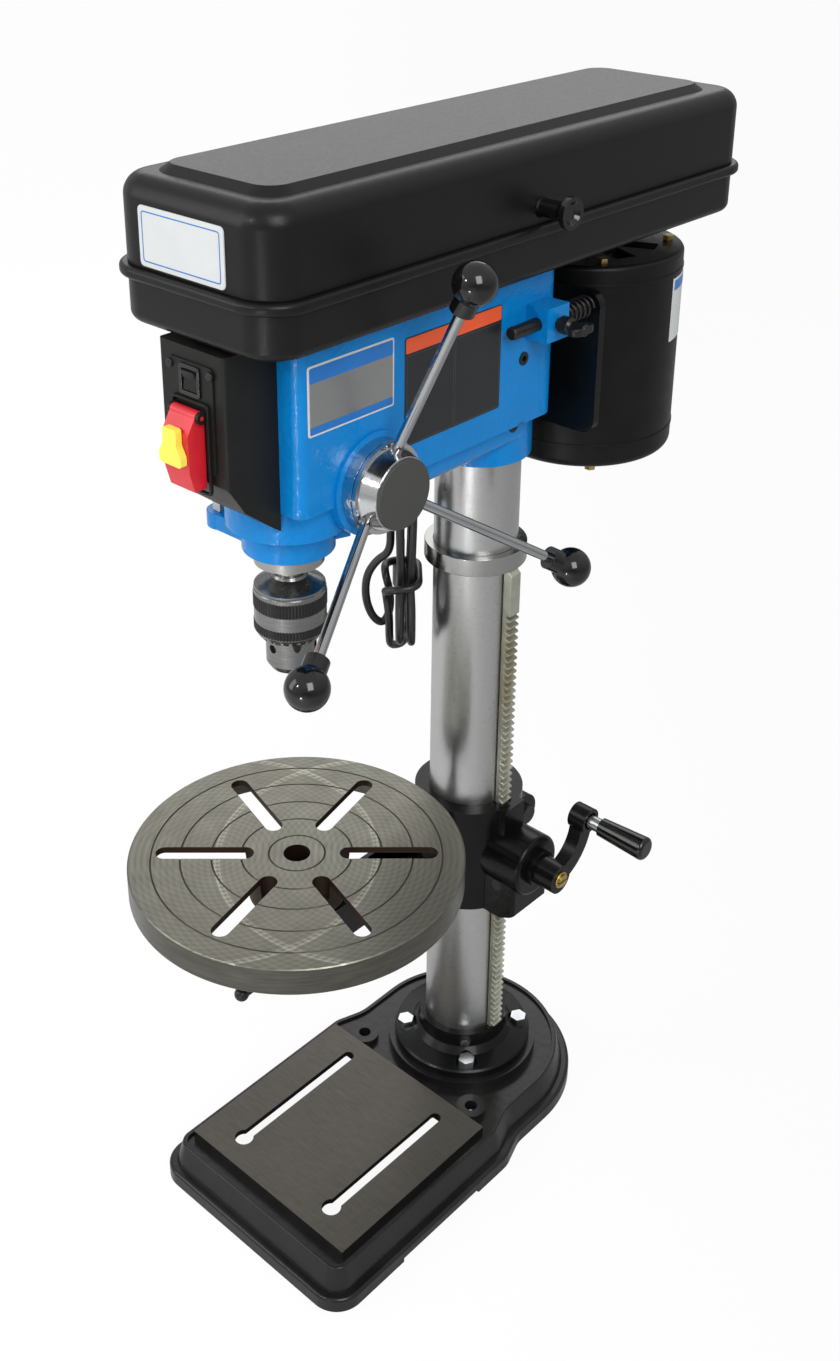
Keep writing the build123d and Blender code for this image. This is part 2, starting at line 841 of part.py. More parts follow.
def make_crank_arm():
    pin_y, pin_z = crank_pin_place()
    start = worm_barrel_end + gap
    hub = rod_x(crank_hub_radius, start, crank_hub_end, 0, worm_z)
    hub += rod_x(crank_shoulder_radius, start, start + crank_shoulder_width, 0, worm_z)
    arm_start = crank_hub_end - crank_arm_thickness
    eye = rod_x(crank_eye_radius, arm_start, crank_hub_end + crank_eye_proud, pin_y, pin_z)
    angle = math.radians(crank_angle)
    bow_y = crank_bow * math.sin(angle)
    bow_z = -crank_bow * math.cos(angle)
    rise = pin_z - worm_z
    near = (pin_y / 3 + bow_y, worm_z + rise / 3 + bow_z)
    far = (2 * pin_y / 3 + bow_y, worm_z + 2 * rise / 3 + bow_z)
    band = trace(Spline((0, worm_z), near, far, (pin_y, pin_z)), crank_arm_width)
    side = Plane(origin=(arm_start, 0, 0), x_dir=(0, 1, 0), z_dir=(1, 0, 0))
    arm = extrude(side * band, crank_arm_thickness - crank_eye_proud, dir=(1, 0, 0))
    body = hub + eye + arm
    body -= rod_x(worm_shaft_radius, start - 1, crank_hub_end - 1, 0, worm_z)
    return body - rod_x(crank_pin_radius, 0, crank_hub_end + crank_eye_proud + 1, pin_y, pin_z)


def grip_ends():
    start = crank_hub_end + crank_eye_proud + crank_collar_length
    return start, start + crank_grip_length


def make_crank_pin():
    pin_y, pin_z = crank_pin_place()
    start, end = grip_ends()
    shank = rod_x(crank_pin_radius, crank_hub_end - crank_arm_thickness, end - crank_pin_cover, pin_y, pin_z)
    collar = rod_x(crank_pin_radius + 2, crank_hub_end + crank_eye_proud, start - gap, pin_y, pin_z)
    return shank + collar


def make_crank_grip():
    pin_y, pin_z = crank_pin_place()
    start, end = grip_ends()
    cone = Cone(crank_grip_neck, crank_grip_radius, end - start, align=LOW)
    cone = fillet(cone.edges().filter_by(GeomType.CIRCLE).group_by(Axis.Z)[-1], crank_grip_round)
    grip = Pos(start, pin_y, pin_z) * Rot(0, 90, 0) * cone
    return grip - rod_x(crank_pin_radius + fit, start - 1, end - crank_pin_cover + fit, pin_y, pin_z)


# Bracket lock
def make_lock_bolt():
    ear = clamp_split / 2 + clamp_ear_width
    end = -ear - clamp_hub_length
    shank = rod_x(clamp_bolt_radius, end, ear, clamp_ear_y, clamp_ear_z)
    head = rod_x(clamp_hub_radius, ear, ear + clamp_head_height, clamp_ear_y, clamp_ear_z)
    hub = rod_x(clamp_hub_radius, end, -ear - gap, clamp_ear_y, clamp_ear_z)
    reach = clamp_ear_z - clamp_lever_length
    lever_x = -ear - clamp_hub_length / 2
    lever = rod_z(clamp_lever_radius, reach, clamp_ear_z, lever_x, clamp_ear_y)
    tip = Pos(lever_x, clamp_ear_y, reach) * Sphere(clamp_lever_tip)
    return shank + head + hub + lever + tip


# Table arm and table
def make_table_arm():
    face_y = tilt_face_y - gap
    disc = rod_y(tilt_boss_radius, face_y - arm_disc, face_y, 0, tilt_z)
    socket = rod_z(arm_socket_radius, arm_bottom, table_hub_bottom - gap, 0, spindle_y)
    beam_y = spindle_y, face_y - arm_disc / 2
    beam = block(-arm_half_width, arm_half_width, *beam_y, arm_bottom, tilt_z + arm_half_width)
    body = disc + socket + beam
    body -= rod_z(table_stem_radius + fit, arm_bottom - 1, table_hub_bottom, 0, spindle_y)
    split_front = spindle_y - arm_socket_radius - 1
    body -= block(-arm_split / 2, arm_split / 2, split_front, spindle_y, arm_bottom - 1, table_hub_bottom)
    body -= rod_y(tilt_bolt_radius + fit, face_y - tilt_bolt_room, face_y + 1, 0, tilt_z)
    nut_x = -arm_window_half_width, arm_window_half_width
    nut_y = face_y - arm_disc - arm_window_length, face_y - arm_disc
    nut_z = tilt_z - arm_window_drop, tilt_z + arm_window_rise
    body -= block(*nut_x, *nut_y, *nut_z)
    bolt_y, bolt_z = table_lever_place()
    bolt_end = table_lever_screw
    lug_y = bolt_y - arm_lug_length / 2, bolt_y + arm_lug_length / 2 + arm_lug_overlap
    for side in (-1, 1):
        lug_x = sorted((side * arm_split / 2, side * arm_lug_x))
        lug = block(*lug_x, *lug_y, tilt_z, tilt_z + arm_lug_length)
        body += lug - rod_x(clamp_bolt_radius + fit, -bolt_end, bolt_end, bolt_y, bolt_z)
    return body


def table_lever_place():
    return spindle_y - arm_socket_radius + arm_lug_overlap - arm_lug_length / 2, tilt_z + arm_lug_length / 2


def make_tilt_nut():
    face_y = tilt_face_y - gap - arm_disc
    nut = Pos(0, face_y, tilt_z) * Rot(90, 0, 0) * hex_prism(tilt_nut_across, 0, tilt_nut_height)
    stud = rod_y(tilt_bolt_radius, face_y - tilt_bolt_reach, tilt_face_y, 0, tilt_z)
    return nut + stud


def make_table_lever():
    y, z = table_lever_place()
    screw = rod_x(clamp_bolt_radius, -table_lever_screw, table_lever_end, y, z)
    hub = rod_x(table_lever_hub, arm_lug_x + gap, table_lever_end, y, z)
    lever_x = table_lever_end - table_lever_hub
    tip_y = y - table_lever_length
    lever = rod_y(table_lever_radius, tip_y, y, lever_x, z)
    tip = Pos(lever_x, tip_y, z) * Sphere(table_lever_tip)
    return screw + hub + lever + tip


def make_table():
    inner = table_radius - table_rim_width
    plate_bottom = table_top - table_plate
    stem_bottom = table_hub_bottom - gap - table_stem_length
    edge = table_radius - table_edge_chamfer
    top_line = []
    for radius in reversed(table_groove_radii):
        top_line += [
            (radius + table_groove_depth, table_top),
            (radius, table_top - table_groove_depth),
            (radius - table_groove_depth, table_top),
        ]
    profile = [
        (table_hole_radius, stem_bottom),
        (table_stem_radius, stem_bottom),
        (table_stem_radius, table_hub_bottom),
        (table_hub_radius, table_hub_bottom),
        (table_hub_radius + table_hub_flare, plate_bottom),
        (inner - table_rim_draft, plate_bottom),
        (inner, table_bottom),
        (edge, table_bottom),
        (table_radius, table_bottom + table_edge_chamfer),
        (table_radius, table_top - table_edge_chamfer),
        (edge, table_top),
        *top_line,
        (table_hole_radius, table_top),
    ]
    body = turned(profile, 0, spindle_y)
    length = table_slot_outer - table_slot_inner - table_slot_width
    middle = (table_slot_outer + table_slot_inner) / 2
    slot = Pos(middle, 0) * SlotCenterToCenter(length, table_slot_width)
    for index in range(table_slot_count):
        angle = table_slot_angle + 360 * index / table_slot_count
        cutter = Pos(0, spindle_y, plate_bottom - 15) * Rot(0, 0, angle) * extrude(slot, table_plate + 20)
        body -= cutter
    return body


# Head
def make_head():
    upper = block(-head_half_width, head_half_width, head_front_y, head_rear_y, head_bottom, head_top)
    uprights = upper.edges().filter_by(Axis.Z).group_by(Axis.Y)
    upper = fillet(uprights[0], head_front_corner)
    uprights = upper.edges().filter_by(Axis.Z).group_by(Axis.Y)
    upper = fillet(uprights[-1], head_corner)
    belly = block(
        -head_belly_half_width, head_belly_half_width, spindle_y, 0, head_belly_bottom, head_bottom + 20
    )
    belly = fillet(belly.edges().filter_by(Axis.Y).group_by(Axis.Z)[0], 12)
    body = upper + belly
    body += rod_z(nose_radius, nose_bottom, head_top, 0, spindle_y)
    body += rod_z(socket_radius, socket_bottom, head_top)
    boss_root = head_half_width - head_corner
    body += rod_x(feed_boss_radius, boss_root, feed_boss_end, feed_y, feed_z)
    body += rod_x(feed_boss_lip_radius, boss_root, head_half_width + feed_boss_lip, feed_y, feed_z)
    body += rod_x(return_case_radius + 3, return_case_root, -boss_root, feed_y, feed_z)
    body -= rod_z(depth_nut_room, head_bottom - 1, head_top + 1, depth_ear_x, depth_ear_y)
    body -= block(
        -head_half_width - 1, depth_ear_x + depth_nut_room / 2, head_front_y - 1, depth_ear_y,
        head_bottom - 1, head_top + 1,
    )
    lug_top = depth_lug_bottom + depth_lug_height
    body += rod_z(depth_lug_radius, depth_lug_bottom, lug_top, depth_ear_x, depth_ear_y)
    lug_y = depth_ear_y - depth_lug_radius, depth_ear_y + depth_lug_radius
    body += block(depth_ear_x, 0, *lug_y, depth_lug_bottom, lug_top)
    for side in (-1, 1):
        x0, x1 = sorted((side * (head_half_width - 4), side * slide_block_end))
        block_z = slide_rod_z - slide_block_half_height, slide_rod_z + slide_block_half_height
        body += block(x0, x1, *slide_block_y, *block_z)
    return body


def cut_head(body):
    body -= rod_z(column_radius + fit, socket_bottom - 1, column_top)
    body -= block(
        -head_cavity_half_width, head_cavity_half_width,
        head_cavity_front_y, head_cavity_rear_y, head_cavity_floor, head_top + 1,
    )
    body -= rod_z(quill_radius + fit, nose_bottom - 1, quill_top + 2, 0, spindle_y)
    body -= rod_z(sleeve_bearing_radius + fit, quill_top, head_top + 1, 0, spindle_y)
    body -= rod_x(feed_shaft_radius + fit, return_case_root - 1, feed_boss_end + 1, feed_y, feed_z)
    room = pinion_radius + gear_module + gap
    body -= rod_x(room, -head_half_width + 18, head_half_width - 18, feed_y, feed_z)
    body -= rod_x(return_case_radius - 6, return_case_root - 1, return_case_root + 18, feed_y, feed_z)
    body -= rod_z(depth_rod_radius + gap, nose_bottom, head_top, depth_ear_x, depth_ear_y)
    for side in (-1, 1):
        bore_y = slide_block_y[0] - 1, slide_block_y[1] + 1
        body -= rod_y(slide_rod_radius + fit, *bore_y, side * slide_rod_x, slide_rod_z)
    body -= rod_x(wing_screw_radius + fit, slide_rod_x, slide_block_end + 1, wing_screw_y, slide_rod_z)
    body -= rod_z(4 + fit, head_top - 14, head_top + 1, idler_pivot_x, idler_pivot_y)
    for z in head_set_screw_z:
        body -= rod_x(set_screw_radius + fit, 0, head_half_width + 1, head_set_screw_y, z)
    body -= rod_z(gland_radius + fit, head_belly_bottom - 1, head_cavity_floor + 1, gland_x, gland_y)
    return body


def make_set_screws():
    screws = []
    near = abs(head_set_screw_y) - set_screw_radius
    start = math.sqrt(column_radius**2 - near**2) + fit
    for z, side_x in zip(head_set_screw_z, (head_belly_half_width, head_half_width)):
        end = side_x + set_screw_proud
        screw = rod_x(set_screw_radius, start, end, head_set_screw_y, z)
        place = Pos(end - set_screw_radius, head_set_screw_y, z) * Rot(0, 90, 0)
        socket = extrude(RegularPolygon(set_screw_radius / 2, 6), set_screw_radius + 1)
        screws.append(screw - place * socket)
    return screws


# Feed
def make_pinion_shaft():
    face = gear_face(pinion_teeth, gear_module, gear_dedendum * gear_module)
    half = head_half_width - 19
    wheel = extrude(face, half, both=True)
    turn = Plane(origin=(0, feed_y, feed_z), x_dir=(0, 1, 0), z_dir=(1, 0, 0))
    start = return_case_root - return_case_depth + 4
    shaft = rod_x(feed_shaft_radius, start, feed_hub_end - 4, feed_y, feed_z)
    return turn * wheel + shaft


def make_feed_hub():
    ring_start = feed_boss_end + gap
    ring = rod_x(feed_hub_ring_radius, ring_start, ring_start + feed_hub_ring_width, feed_y, feed_z)
    cone = Cone(feed_hub_root_radius, feed_hub_radius, feed_hub_end - ring_start, align=LOW)
    hub = Pos(ring_start, feed_y, feed_z) * Rot(0, 90, 0) * cone
    hub = fillet(hub.edges().group_by(Axis.X)[-1], feed_hub_edge)
    body = ring + hub
    for index in range(rod_count):
        body -= feed_rod(index)
    return body - rod_x(feed_shaft_radius, ring_start - 1, feed_hub_end - 4, feed_y, feed_z)


def rod_frame(index):
    angle = math.radians(rod_angle - 360 * index / rod_count)
    across = Vector(0, math.cos(angle), math.sin(angle))
    root = Vector(rod_root_x, feed_y, feed_z) + across * feed_hub_radius
    tip = Vector(knob_x, feed_y, feed_z) + across * knob_reach
    return Plane(origin=root, z_dir=(tip - root)), (tip - root).length


def feed_rod(index):
    plane, length = rod_frame(index)
    return plane * Pos(0, 0, -rod_depth) * Cylinder(rod_radius, rod_depth + length, align=LOW)


def make_feed_rods():
    return Compound(children=[feed_rod(index) for index in range(rod_count)])


def make_feed_knobs():
    knobs = []
    for index in range(rod_count):
        plane, length = rod_frame(index)
        neck = knob_radius + knob_neck_length - 2
        ball = Pos(0, 0, length) * Sphere(knob_radius)
        collar = Pos(0, 0, length - neck) * Cylinder(knob_neck_radius, neck, align=LOW)
        bore = Pos(0, 0, length - neck - 1) * Cylinder(rod_radius, neck + 1, align=LOW)
        knobs.append(plane * (ball + collar - bore))
    return Compound(children=knobs)


def make_hub_cap():
    cap = rod_x(hub_cap_radius, feed_hub_end, feed_hub_end + hub_cap_thickness, feed_y, feed_z)
    return fillet(cap.edges().group_by(Axis.X)[-1], 1)


def make_return_case():
    outer = return_case_root - return_case_depth
    cup = rod_x(return_case_radius, outer, return_case_root, feed_y, feed_z)
    cup = fillet(cup.edges().group_by(Axis.X)[0], return_case_wall)
    inside = return_case_radius - return_case_wall
    return cup - rod_x(inside, outer + return_case_wall, return_case_root + 1, feed_y, feed_z)


def make_return_spring():
    outer = return_case_root - return_case_depth
    start = outer + return_case_wall + gap
    end = start + return_spring_width
    rings = rod_x(return_case_radius - return_case_wall - gap, start, end, feed_y, feed_z)
    for radius in return_spring_rings:
        groove = rod_x(radius, start - 1, start + return_spring_groove, feed_y, feed_z)
        rings -= groove - rod_x(radius - return_spring_gap, start - 2, end, feed_y, feed_z)
    return rings - rod_x(feed_shaft_radius + 2, start - 2, end + 2, feed_y, feed_z)


# Quill, spindle and depth stop
def make_quill():
    body = rod_z(quill_radius, quill_bottom, quill_top, 0, spindle_y)
    half = quill_rack_width / 2
    rack_bottom = nose_bottom + 12
    root_y = quill_rack_pitch_y - rack_dedendum * gear_module
    body -= block(
        -quill_radius, quill_radius, root_y, spindle_y + quill_radius + 1, rack_bottom, quill_top + 1
    )
    outline = rack_face_outline(
        spindle_y + spindle_radius + 3, quill_rack_pitch_y,
        quill_rack_addendum * gear_module, rack_dedendum * gear_module,
        rack_bottom, quill_top, feed_z,
    )
    side = Plane(origin=(-half, 0, 0), x_dir=(0, 1, 0), z_dir=(1, 0, 0))
    body += extrude(side * outline, 2 * half, dir=(1, 0, 0))
    body -= rod_z(spindle_radius + 1, quill_bottom - 1, quill_top + 1, 0, spindle_y)
    seat = quill_bearing_radius + fit
    body -= rod_z(seat, quill_bottom - 1, quill_bottom + quill_bearing_height, 0, spindle_y)
    body -= rod_z(seat, quill_top - quill_bearing_height, quill_top + 1, 0, spindle_y)
    return body


def make_quill_bearings():
    rings = []
    for z in (quill_bottom, quill_top - quill_bearing_height):
        top = z + quill_bearing_height
        rings.append(tube_z(quill_bearing_radius, spindle_radius + fit, z, top, 0, spindle_y))
    return Compound(children=rings)


def make_spindle():
    body = rod_z(spindle_radius, chuck_cap_bottom + 4, quill_top, 0, spindle_y)
    return body + rod_z(spline_radius, quill_top - 1, spindle_top, 0, spindle_y)


def make_depth_collar():
    top = depth_collar_bottom + depth_collar_height
    body = rod_z(depth_collar_radius, depth_collar_bottom, top, 0, spindle_y)
    body += rod_z(depth_ear_radius, depth_collar_bottom + 5, top, depth_ear_x, depth_ear_y)
    ear_edge = depth_ear_radius - 1
    arm = Polyline(
        (0, spindle_y - quill_radius - 1),
        (depth_ear_x, depth_ear_y - ear_edge),
        (depth_ear_x, depth_ear_y + ear_edge),
        (0, spindle_y + quill_radius - 5),
        close=True,
    )
    body += Pos(0, 0, depth_collar_bottom + 5) * extrude(make_face(arm), depth_collar_height - 5)
    clamp = Pos(0, spindle_y) * Rot(0, 0, depth_clamp_angle)
    lug = Pos(depth_collar_radius, 0, depth_collar_bottom + depth_collar_height / 2)
    body += clamp * lug * Box(depth_clamp_length, depth_clamp_width, depth_collar_height)
    body -= clamp * lug * Box(depth_collar_radius, depth_clamp_split, depth_collar_height + 2)
    body -= rod_z(quill_radius + fit, depth_collar_bottom - 1, top + 1, 0, spindle_y)
    body -= rod_z(depth_rod_radius + fit, depth_collar_bottom, top + 1, depth_ear_x, depth_ear_y)
    screw = clamp * lug * Pos(4, 0, 0) * Rot(90, 0, 0)
    return body - screw * Cylinder(3, 30)


def make_depth_rod():
    top = depth_collar_bottom + depth_collar_height
    rod = rod_z(depth_rod_radius, depth_collar_bottom + 2, depth_rod_top, depth_ear_x, depth_ear_y)
    nut = hex_prism(2 * depth_nut_radius, top, top + depth_nut_height, depth_ear_x, depth_ear_y)
    return rod + nut


def make_depth_nuts():
    start = depth_lug_bottom + depth_lug_height + quill_travel + 2
    inner = depth_rod_radius + fit
    nuts = hex_prism(2 * depth_nut_radius, start, start + depth_nut_height, depth_ear_x, depth_ear_y)
    upper = start + depth_nut_height + 1
    nuts += rod_z(inner + 2, start, upper + 1, depth_ear_x, depth_ear_y)
    nuts += hex_prism(2 * depth_nut_radius, upper, upper + depth_nut_height, depth_ear_x, depth_ear_y)
    return nuts - rod_z(inner, start - 1, upper + 20, depth_ear_x, depth_ear_y)


# Chuck
def jaw_axis(index):
    angle = 360 * index / jaw_count + 90
    turn = Pos(0, spindle_y, chuck_nose_bottom) * Rot(0, 0, angle)
    return turn * Pos(jaw_tip_offset, 0, 0) * Rot(0, jaw_tilt, 0)


def make_chuck_body():
    body = turned(
        [
            (0, chuck_nose_bottom),
            (chuck_nose_radius - 3, chuck_nose_bottom),
            (chuck_nose_radius, chuck_nose_bottom + 5),
            (chuck_nose_radius, chuck_sleeve_bottom - gap),
            (chuck_core_radius, chuck_sleeve_bottom - gap),
            (chuck_core_radius, chuck_cap_bottom),
            (chuck_sleeve_radius - 0.5, chuck_cap_bottom),
            (chuck_sleeve_radius - 0.5, chuck_shoulder - 1),
            (chuck_sleeve_radius - 2, chuck_shoulder),
            (spindle_radius + 3, chuck_top - 2),
            (spindle_radius + 2, chuck_top),
            (0, chuck_top),
        ],
        0, spindle_y,
    )
    body -= rod_z(chuck_bore_radius, chuck_nose_bottom - 1, chuck_cap_bottom - 25, 0, spindle_y)
    body -= rod_z(spindle_radius, chuck_cap_bottom + 4, chuck_top + 1, 0, spindle_y)
    for index in range(jaw_count):
        bore = Cylinder(jaw_radius + 2 * fit, jaw_length + 2 * jaw_depth + 6, align=LOW)
        body -= jaw_axis(index) * Pos(0, 0, -5) * bore
        turn = Pos(0, spindle_y, chuck_key_hole_z) * Rot(0, 0, 360 * index / jaw_count + 30)
        key_hole = Rot(0, 90, 0) * Cylinder(chuck_key_hole_radius, 8, align=LOW)
        body -= turn * Pos(chuck_nose_radius - 4, 0, 0) * key_hole
    return body


def make_chuck_sleeve():
    top = chuck_cap_bottom - gap
    body = turned(
        [
            (chuck_core_radius + fit, chuck_sleeve_bottom),
            (chuck_sleeve_radius - 3, chuck_sleeve_bottom),
            (chuck_sleeve_radius, chuck_sleeve_bottom + 5),
            (chuck_sleeve_radius, top - 1),
            (chuck_sleeve_radius - 1, top),
            (chuck_core_radius + fit, top),
        ],
        0, spindle_y,
    )
    for index in range(chuck_tooth_count):
        turn = Pos(0, spindle_y, chuck_sleeve_bottom) * Rot(0, 0, 360 * index / chuck_tooth_count)
        body -= turn * Pos(chuck_sleeve_radius, 0, 0) * Box(7, 2.4, 6)
    return body


def make_jaw(index):
    jaw = jaw_axis(index) * Pos(0, 0, jaw_depth) * Cylinder(jaw_radius, jaw_length, align=LOW)
    angle = 360 * index / jaw_count + 90
    closed = jaw_travel * math.sin(math.radians(jaw_tilt))
    far = 2 * chuck_sleeve_radius
    edge = far * math.tan(math.pi / jaw_count)
    sector = make_face(Polyline((0, 0), (far, -edge), (far, edge), close=True))
    wedge = Pos(0, spindle_y, chuck_nose_bottom - jaw_length) * Rot(0, 0, angle)
    return jaw & (wedge * Pos(closed + jaw_spacing, 0, 0) * extrude(sector, 3 * jaw_length))


# Pulleys, belts and idler
def stepped_pulley(steps, bore, x, y):
    points = [(bore, pulley_bottom)]
    side = (pulley_step - pulley_groove) / 2
    for level, radius in enumerate(steps):
        z = pulley_bottom + level * pulley_step
        points += [
            (radius, z),
            (radius, z + side),
            (radius - pulley_groove_depth, z + side),
            (radius - pulley_groove_depth, z + side + pulley_groove),
            (radius, z + side + pulley_groove),
            (radius, z + pulley_step),
        ]
    points.append((bore, pulley_bottom + len(steps) * pulley_step))
    return turned(points, x, y)


def make_spindle_pulley():
    top = pulley_bottom + len(spindle_steps) * pulley_step
    sleeve = rod_z(drive_sleeve_radius, quill_top + 4, top, 0, spindle_y)
    sleeve += stepped_pulley(spindle_steps, drive_sleeve_radius - 1, 0, spindle_y)
    return sleeve - rod_z(spline_radius + fit, quill_top, top + 1, 0, spindle_y)


def make_sleeve_bearings():
    rings = []
    inner = drive_sleeve_radius + fit
    for z in (quill_top + 3, head_top - sleeve_bearing_height):
        rings.append(tube_z(sleeve_bearing_radius, inner, z, z + sleeve_bearing_height, 0, spindle_y))
    return Compound(children=rings)


def make_belt(level, y0, radius0, y1, radius1):
    middle = pulley_bottom + level * pulley_step + pulley_step / 2
    inner = make_hull((Pos(0, y0) * Circle(radius0)).edges() + (Pos(0, y1) * Circle(radius1)).edges())
    outer = make_hull(
        (Pos(0, y0) * Circle(radius0 + belt_thickness)).edges()
        + (Pos(0, y1) * Circle(radius1 + belt_thickness)).edges()
    )
    return Pos(0, 0, middle - belt_width / 2) * extrude(outer - inner, belt_width, dir=(0, 0, 1))


def make_idler_arm():
    z0 = head_top + pan_wall + gap
    z1 = z0 + idler_arm_thickness - 2
    hull = make_hull(
        (Pos(idler_pivot_x, idler_pivot_y) * Circle(10)).edges() + (Pos(0, idler_y) * Circle(12)).edges()
    )
    plate = Pos(0, 0, z0) * extrude(hull, z1 - z0, dir=(0, 0, 1))
    pivot = rod_z(4, head_top - 12, z1, idler_pivot_x, idler_pivot_y)
    top = pulley_bottom + len(idler_steps) * pulley_step + 4
    return plate + pivot + rod_z(idler_shaft_radius, z0, top, 0, idler_y)


# Belt pan and cover
def make_pan():
    outer = rounded_slab(pan_half_width, pan_front_y, pan_rear_y, pan_corner, head_top, pan_top)
    outer = fillet(outer.edges().group_by(Axis.Z)[0], pan_bottom_round)
    rim = rounded_slab(
        rim_half_width, pan_front_y - rim_overhang, pan_rear_y + rim_overhang, pan_corner + rim_overhang,
        pan_top - rim_height, pan_top,
    )
    rim = fillet(rim.edges().group_by(Axis.Z)[0] + rim.edges().group_by(Axis.Z)[-1], 3)
    hollow = rounded_slab(
        pan_half_width - pan_wall, pan_front_y + pan_wall, pan_rear_y - pan_wall, pan_corner - pan_wall,
        head_top + pan_wall, pan_top + 1,
    )
    hollow = fillet(hollow.edges().group_by(Axis.Z)[0], pan_bottom_round - pan_wall)
    body = outer + rim - hollow
    body -= rod_z(sleeve_bearing_radius + 3, head_top - 1, head_top + pan_wall + 1, 0, spindle_y)
    body -= rod_z(6, head_top - 1, head_top + pan_wall + 1, idler_pivot_x, idler_pivot_y)
    slot_y = motor_y - motor_travel / 2
    slot = Pos(0, slot_y) * Rot(0, 0, 90) * SlotCenterToCenter(motor_travel, 4 * motor_shaft_radius)
    body -= Pos(0, 0, head_top - 1) * extrude(slot, pan_wall + 2)
    third = hinge_length / 3
    leaf_bottom = cover_bottom - hinge_knuckle_radius - hinge_leaf_thickness / 2
    spans = [y + side * third for y in hinge_y for side in (-1, 1)]
    for knuckle in hinge_knuckles(spans, leaf_bottom, -rim_half_width + pan_wall):
        body += knuckle
    return body


def make_cover_panel(shell=0.0):
    middle = (cover_panel_front_y + cover_panel_rear_y) / 2
    width = 2 * cover_panel_half_width
    length = cover_panel_rear_y - cover_panel_front_y
    rings = []
    foot = cover_top - shell
    for inset, z in ((shell, foot), (shell + cover_panel_border, foot + cover_panel_height)):
        outline = RectangleRounded(width - 2 * inset, length - 2 * inset, cover_panel_corner - inset)
        rings.append(Pos(0, middle, z) * outline)
    return loft(rings)


def make_cover():
    outer = rounded_slab(pan_half_width, pan_front_y, pan_rear_y, pan_corner, cover_bottom, cover_top)
    outer = fillet(outer.edges().group_by(Axis.Z)[-1], cover_edge_round)
    panel = make_cover_panel()
    hollow = rounded_slab(
        pan_half_width - pan_wall, pan_front_y + pan_wall, pan_rear_y - pan_wall, pan_corner - pan_wall,
        cover_bottom - 1, cover_top - pan_wall,
    )
    hollow = fillet(hollow.edges().group_by(Axis.Z)[-1], cover_edge_round - pan_wall)
    body = outer + panel - hollow - make_cover_panel(pan_wall)
    for knuckle in hinge_knuckles(hinge_y, cover_bottom + gap, -pan_half_width + pan_wall / 2):
        body += knuckle
    return body - rod_x(cover_screw_radius, 0, pan_half_width + 1, cover_knob_y, cover_knob_z)


def make_cover_knob():
    start = pan_half_width
    end = start + cover_knob_length
    profile = [
        (0, 0),
        (cover_knob_stem + 1, 0),
        (cover_knob_stem, 3),
        (cover_knob_stem, cover_knob_length - 10),
        (cover_knob_radius, cover_knob_length - 4),
        (cover_knob_radius, cover_knob_length),
        (cover_knob_radius - 3, cover_knob_length),
        (cover_knob_radius - 6, cover_knob_length - 3),
        (0, cover_knob_length - 3),
    ]
    knob = Pos(start, cover_knob_y, cover_knob_z) * Rot(0, 90, 0) * turned(profile)
    return knob + rod_x(cover_screw_radius, start - 3 * pan_wall, end - 12, cover_knob_y, cover_knob_z)


def hinge_knuckles(spans, leaf_bottom, leaf_end):
    knuckles = []
    width = hinge_length / 3 - gap
    for centre in spans:
        y0 = centre - width / 2
        y1 = centre + width / 2
        knuckle = rod_y(hinge_knuckle_radius, y0, y1, hinge_x, cover_bottom)
        knuckle += block(hinge_x, leaf_end, y0, y1, leaf_bottom, leaf_bottom + hinge_leaf_thickness)
        knuckles.append(knuckle - rod_y(hinge_pin_radius + fit, y0 - 1, y1 + 1, hinge_x, cover_bottom))
    return knuckles


def make_hinge_pins():
    half = hinge_length / 2
    pins = [rod_y(hinge_pin_radius, y - half, y + half, hinge_x, cover_bottom) for y in hinge_y]
    return Compound(children=pins)


# Motor
def make_motor_shell():
    z0 = motor_bottom + motor_bottom_bell
    z1 = motor_top - motor_top_bell
    shell = rod_z(motor_radius, z0, z1, 0, motor_y)
    foot = block(
        -motor_foot_half_width, motor_foot_half_width, motor_plate_y + motor_plate_thickness, motor_y,
        motor_plate_z[0] + 14, motor_plate_z[1] - 14,
    )
    shell += foot
    shell -= rod_z(motor_radius - motor_wall, z0 - 1, z1 + 1, 0, motor_y)
    return Compound(children=[shell, make_stator()])


def make_motor_bottom_bell():
    z1 = motor_bottom + motor_bottom_bell
    bell = rod_z(motor_radius, motor_bottom, z1, 0, motor_y)
    bell = fillet(bell.edges().group_by(Axis.Z)[0], 8)
    bell -= rod_z(motor_radius - 6, motor_bottom + 5, z1 + 1, 0, motor_y)
    bell += rod_z(16, motor_bottom + 4, z1, 0, motor_y)
    return bell - rod_z(motor_shaft_radius + fit, motor_bottom + 8, z1 + 1, 0, motor_y)


def make_motor_top_bell():
    z0 = motor_top - motor_top_bell
    bell = rod_z(motor_radius, z0, motor_top, 0, motor_y)
    bell = fillet(bell.edges().group_by(Axis.Z)[-1], 4)
    bell -= rod_z(motor_radius - 6, z0 - 1, motor_top - 5, 0, motor_y)
    bell += rod_z(16, z0, motor_top, 0, motor_y)
    for index in range(8):
        turn = Pos(0, motor_y, 0) * Rot(0, 0, 45 * index + 22.5)
        slot = Box(motor_slot_outer - motor_slot_inner, motor_slot_width, 2 * motor_top_bell + 2, align=LOW)
        bell -= turn * Pos((motor_slot_inner + motor_slot_outer) / 2, 0, z0) * slot
    return bell - rod_z(motor_shaft_radius + fit, z0 - 1, motor_top + 1, 0, motor_y)


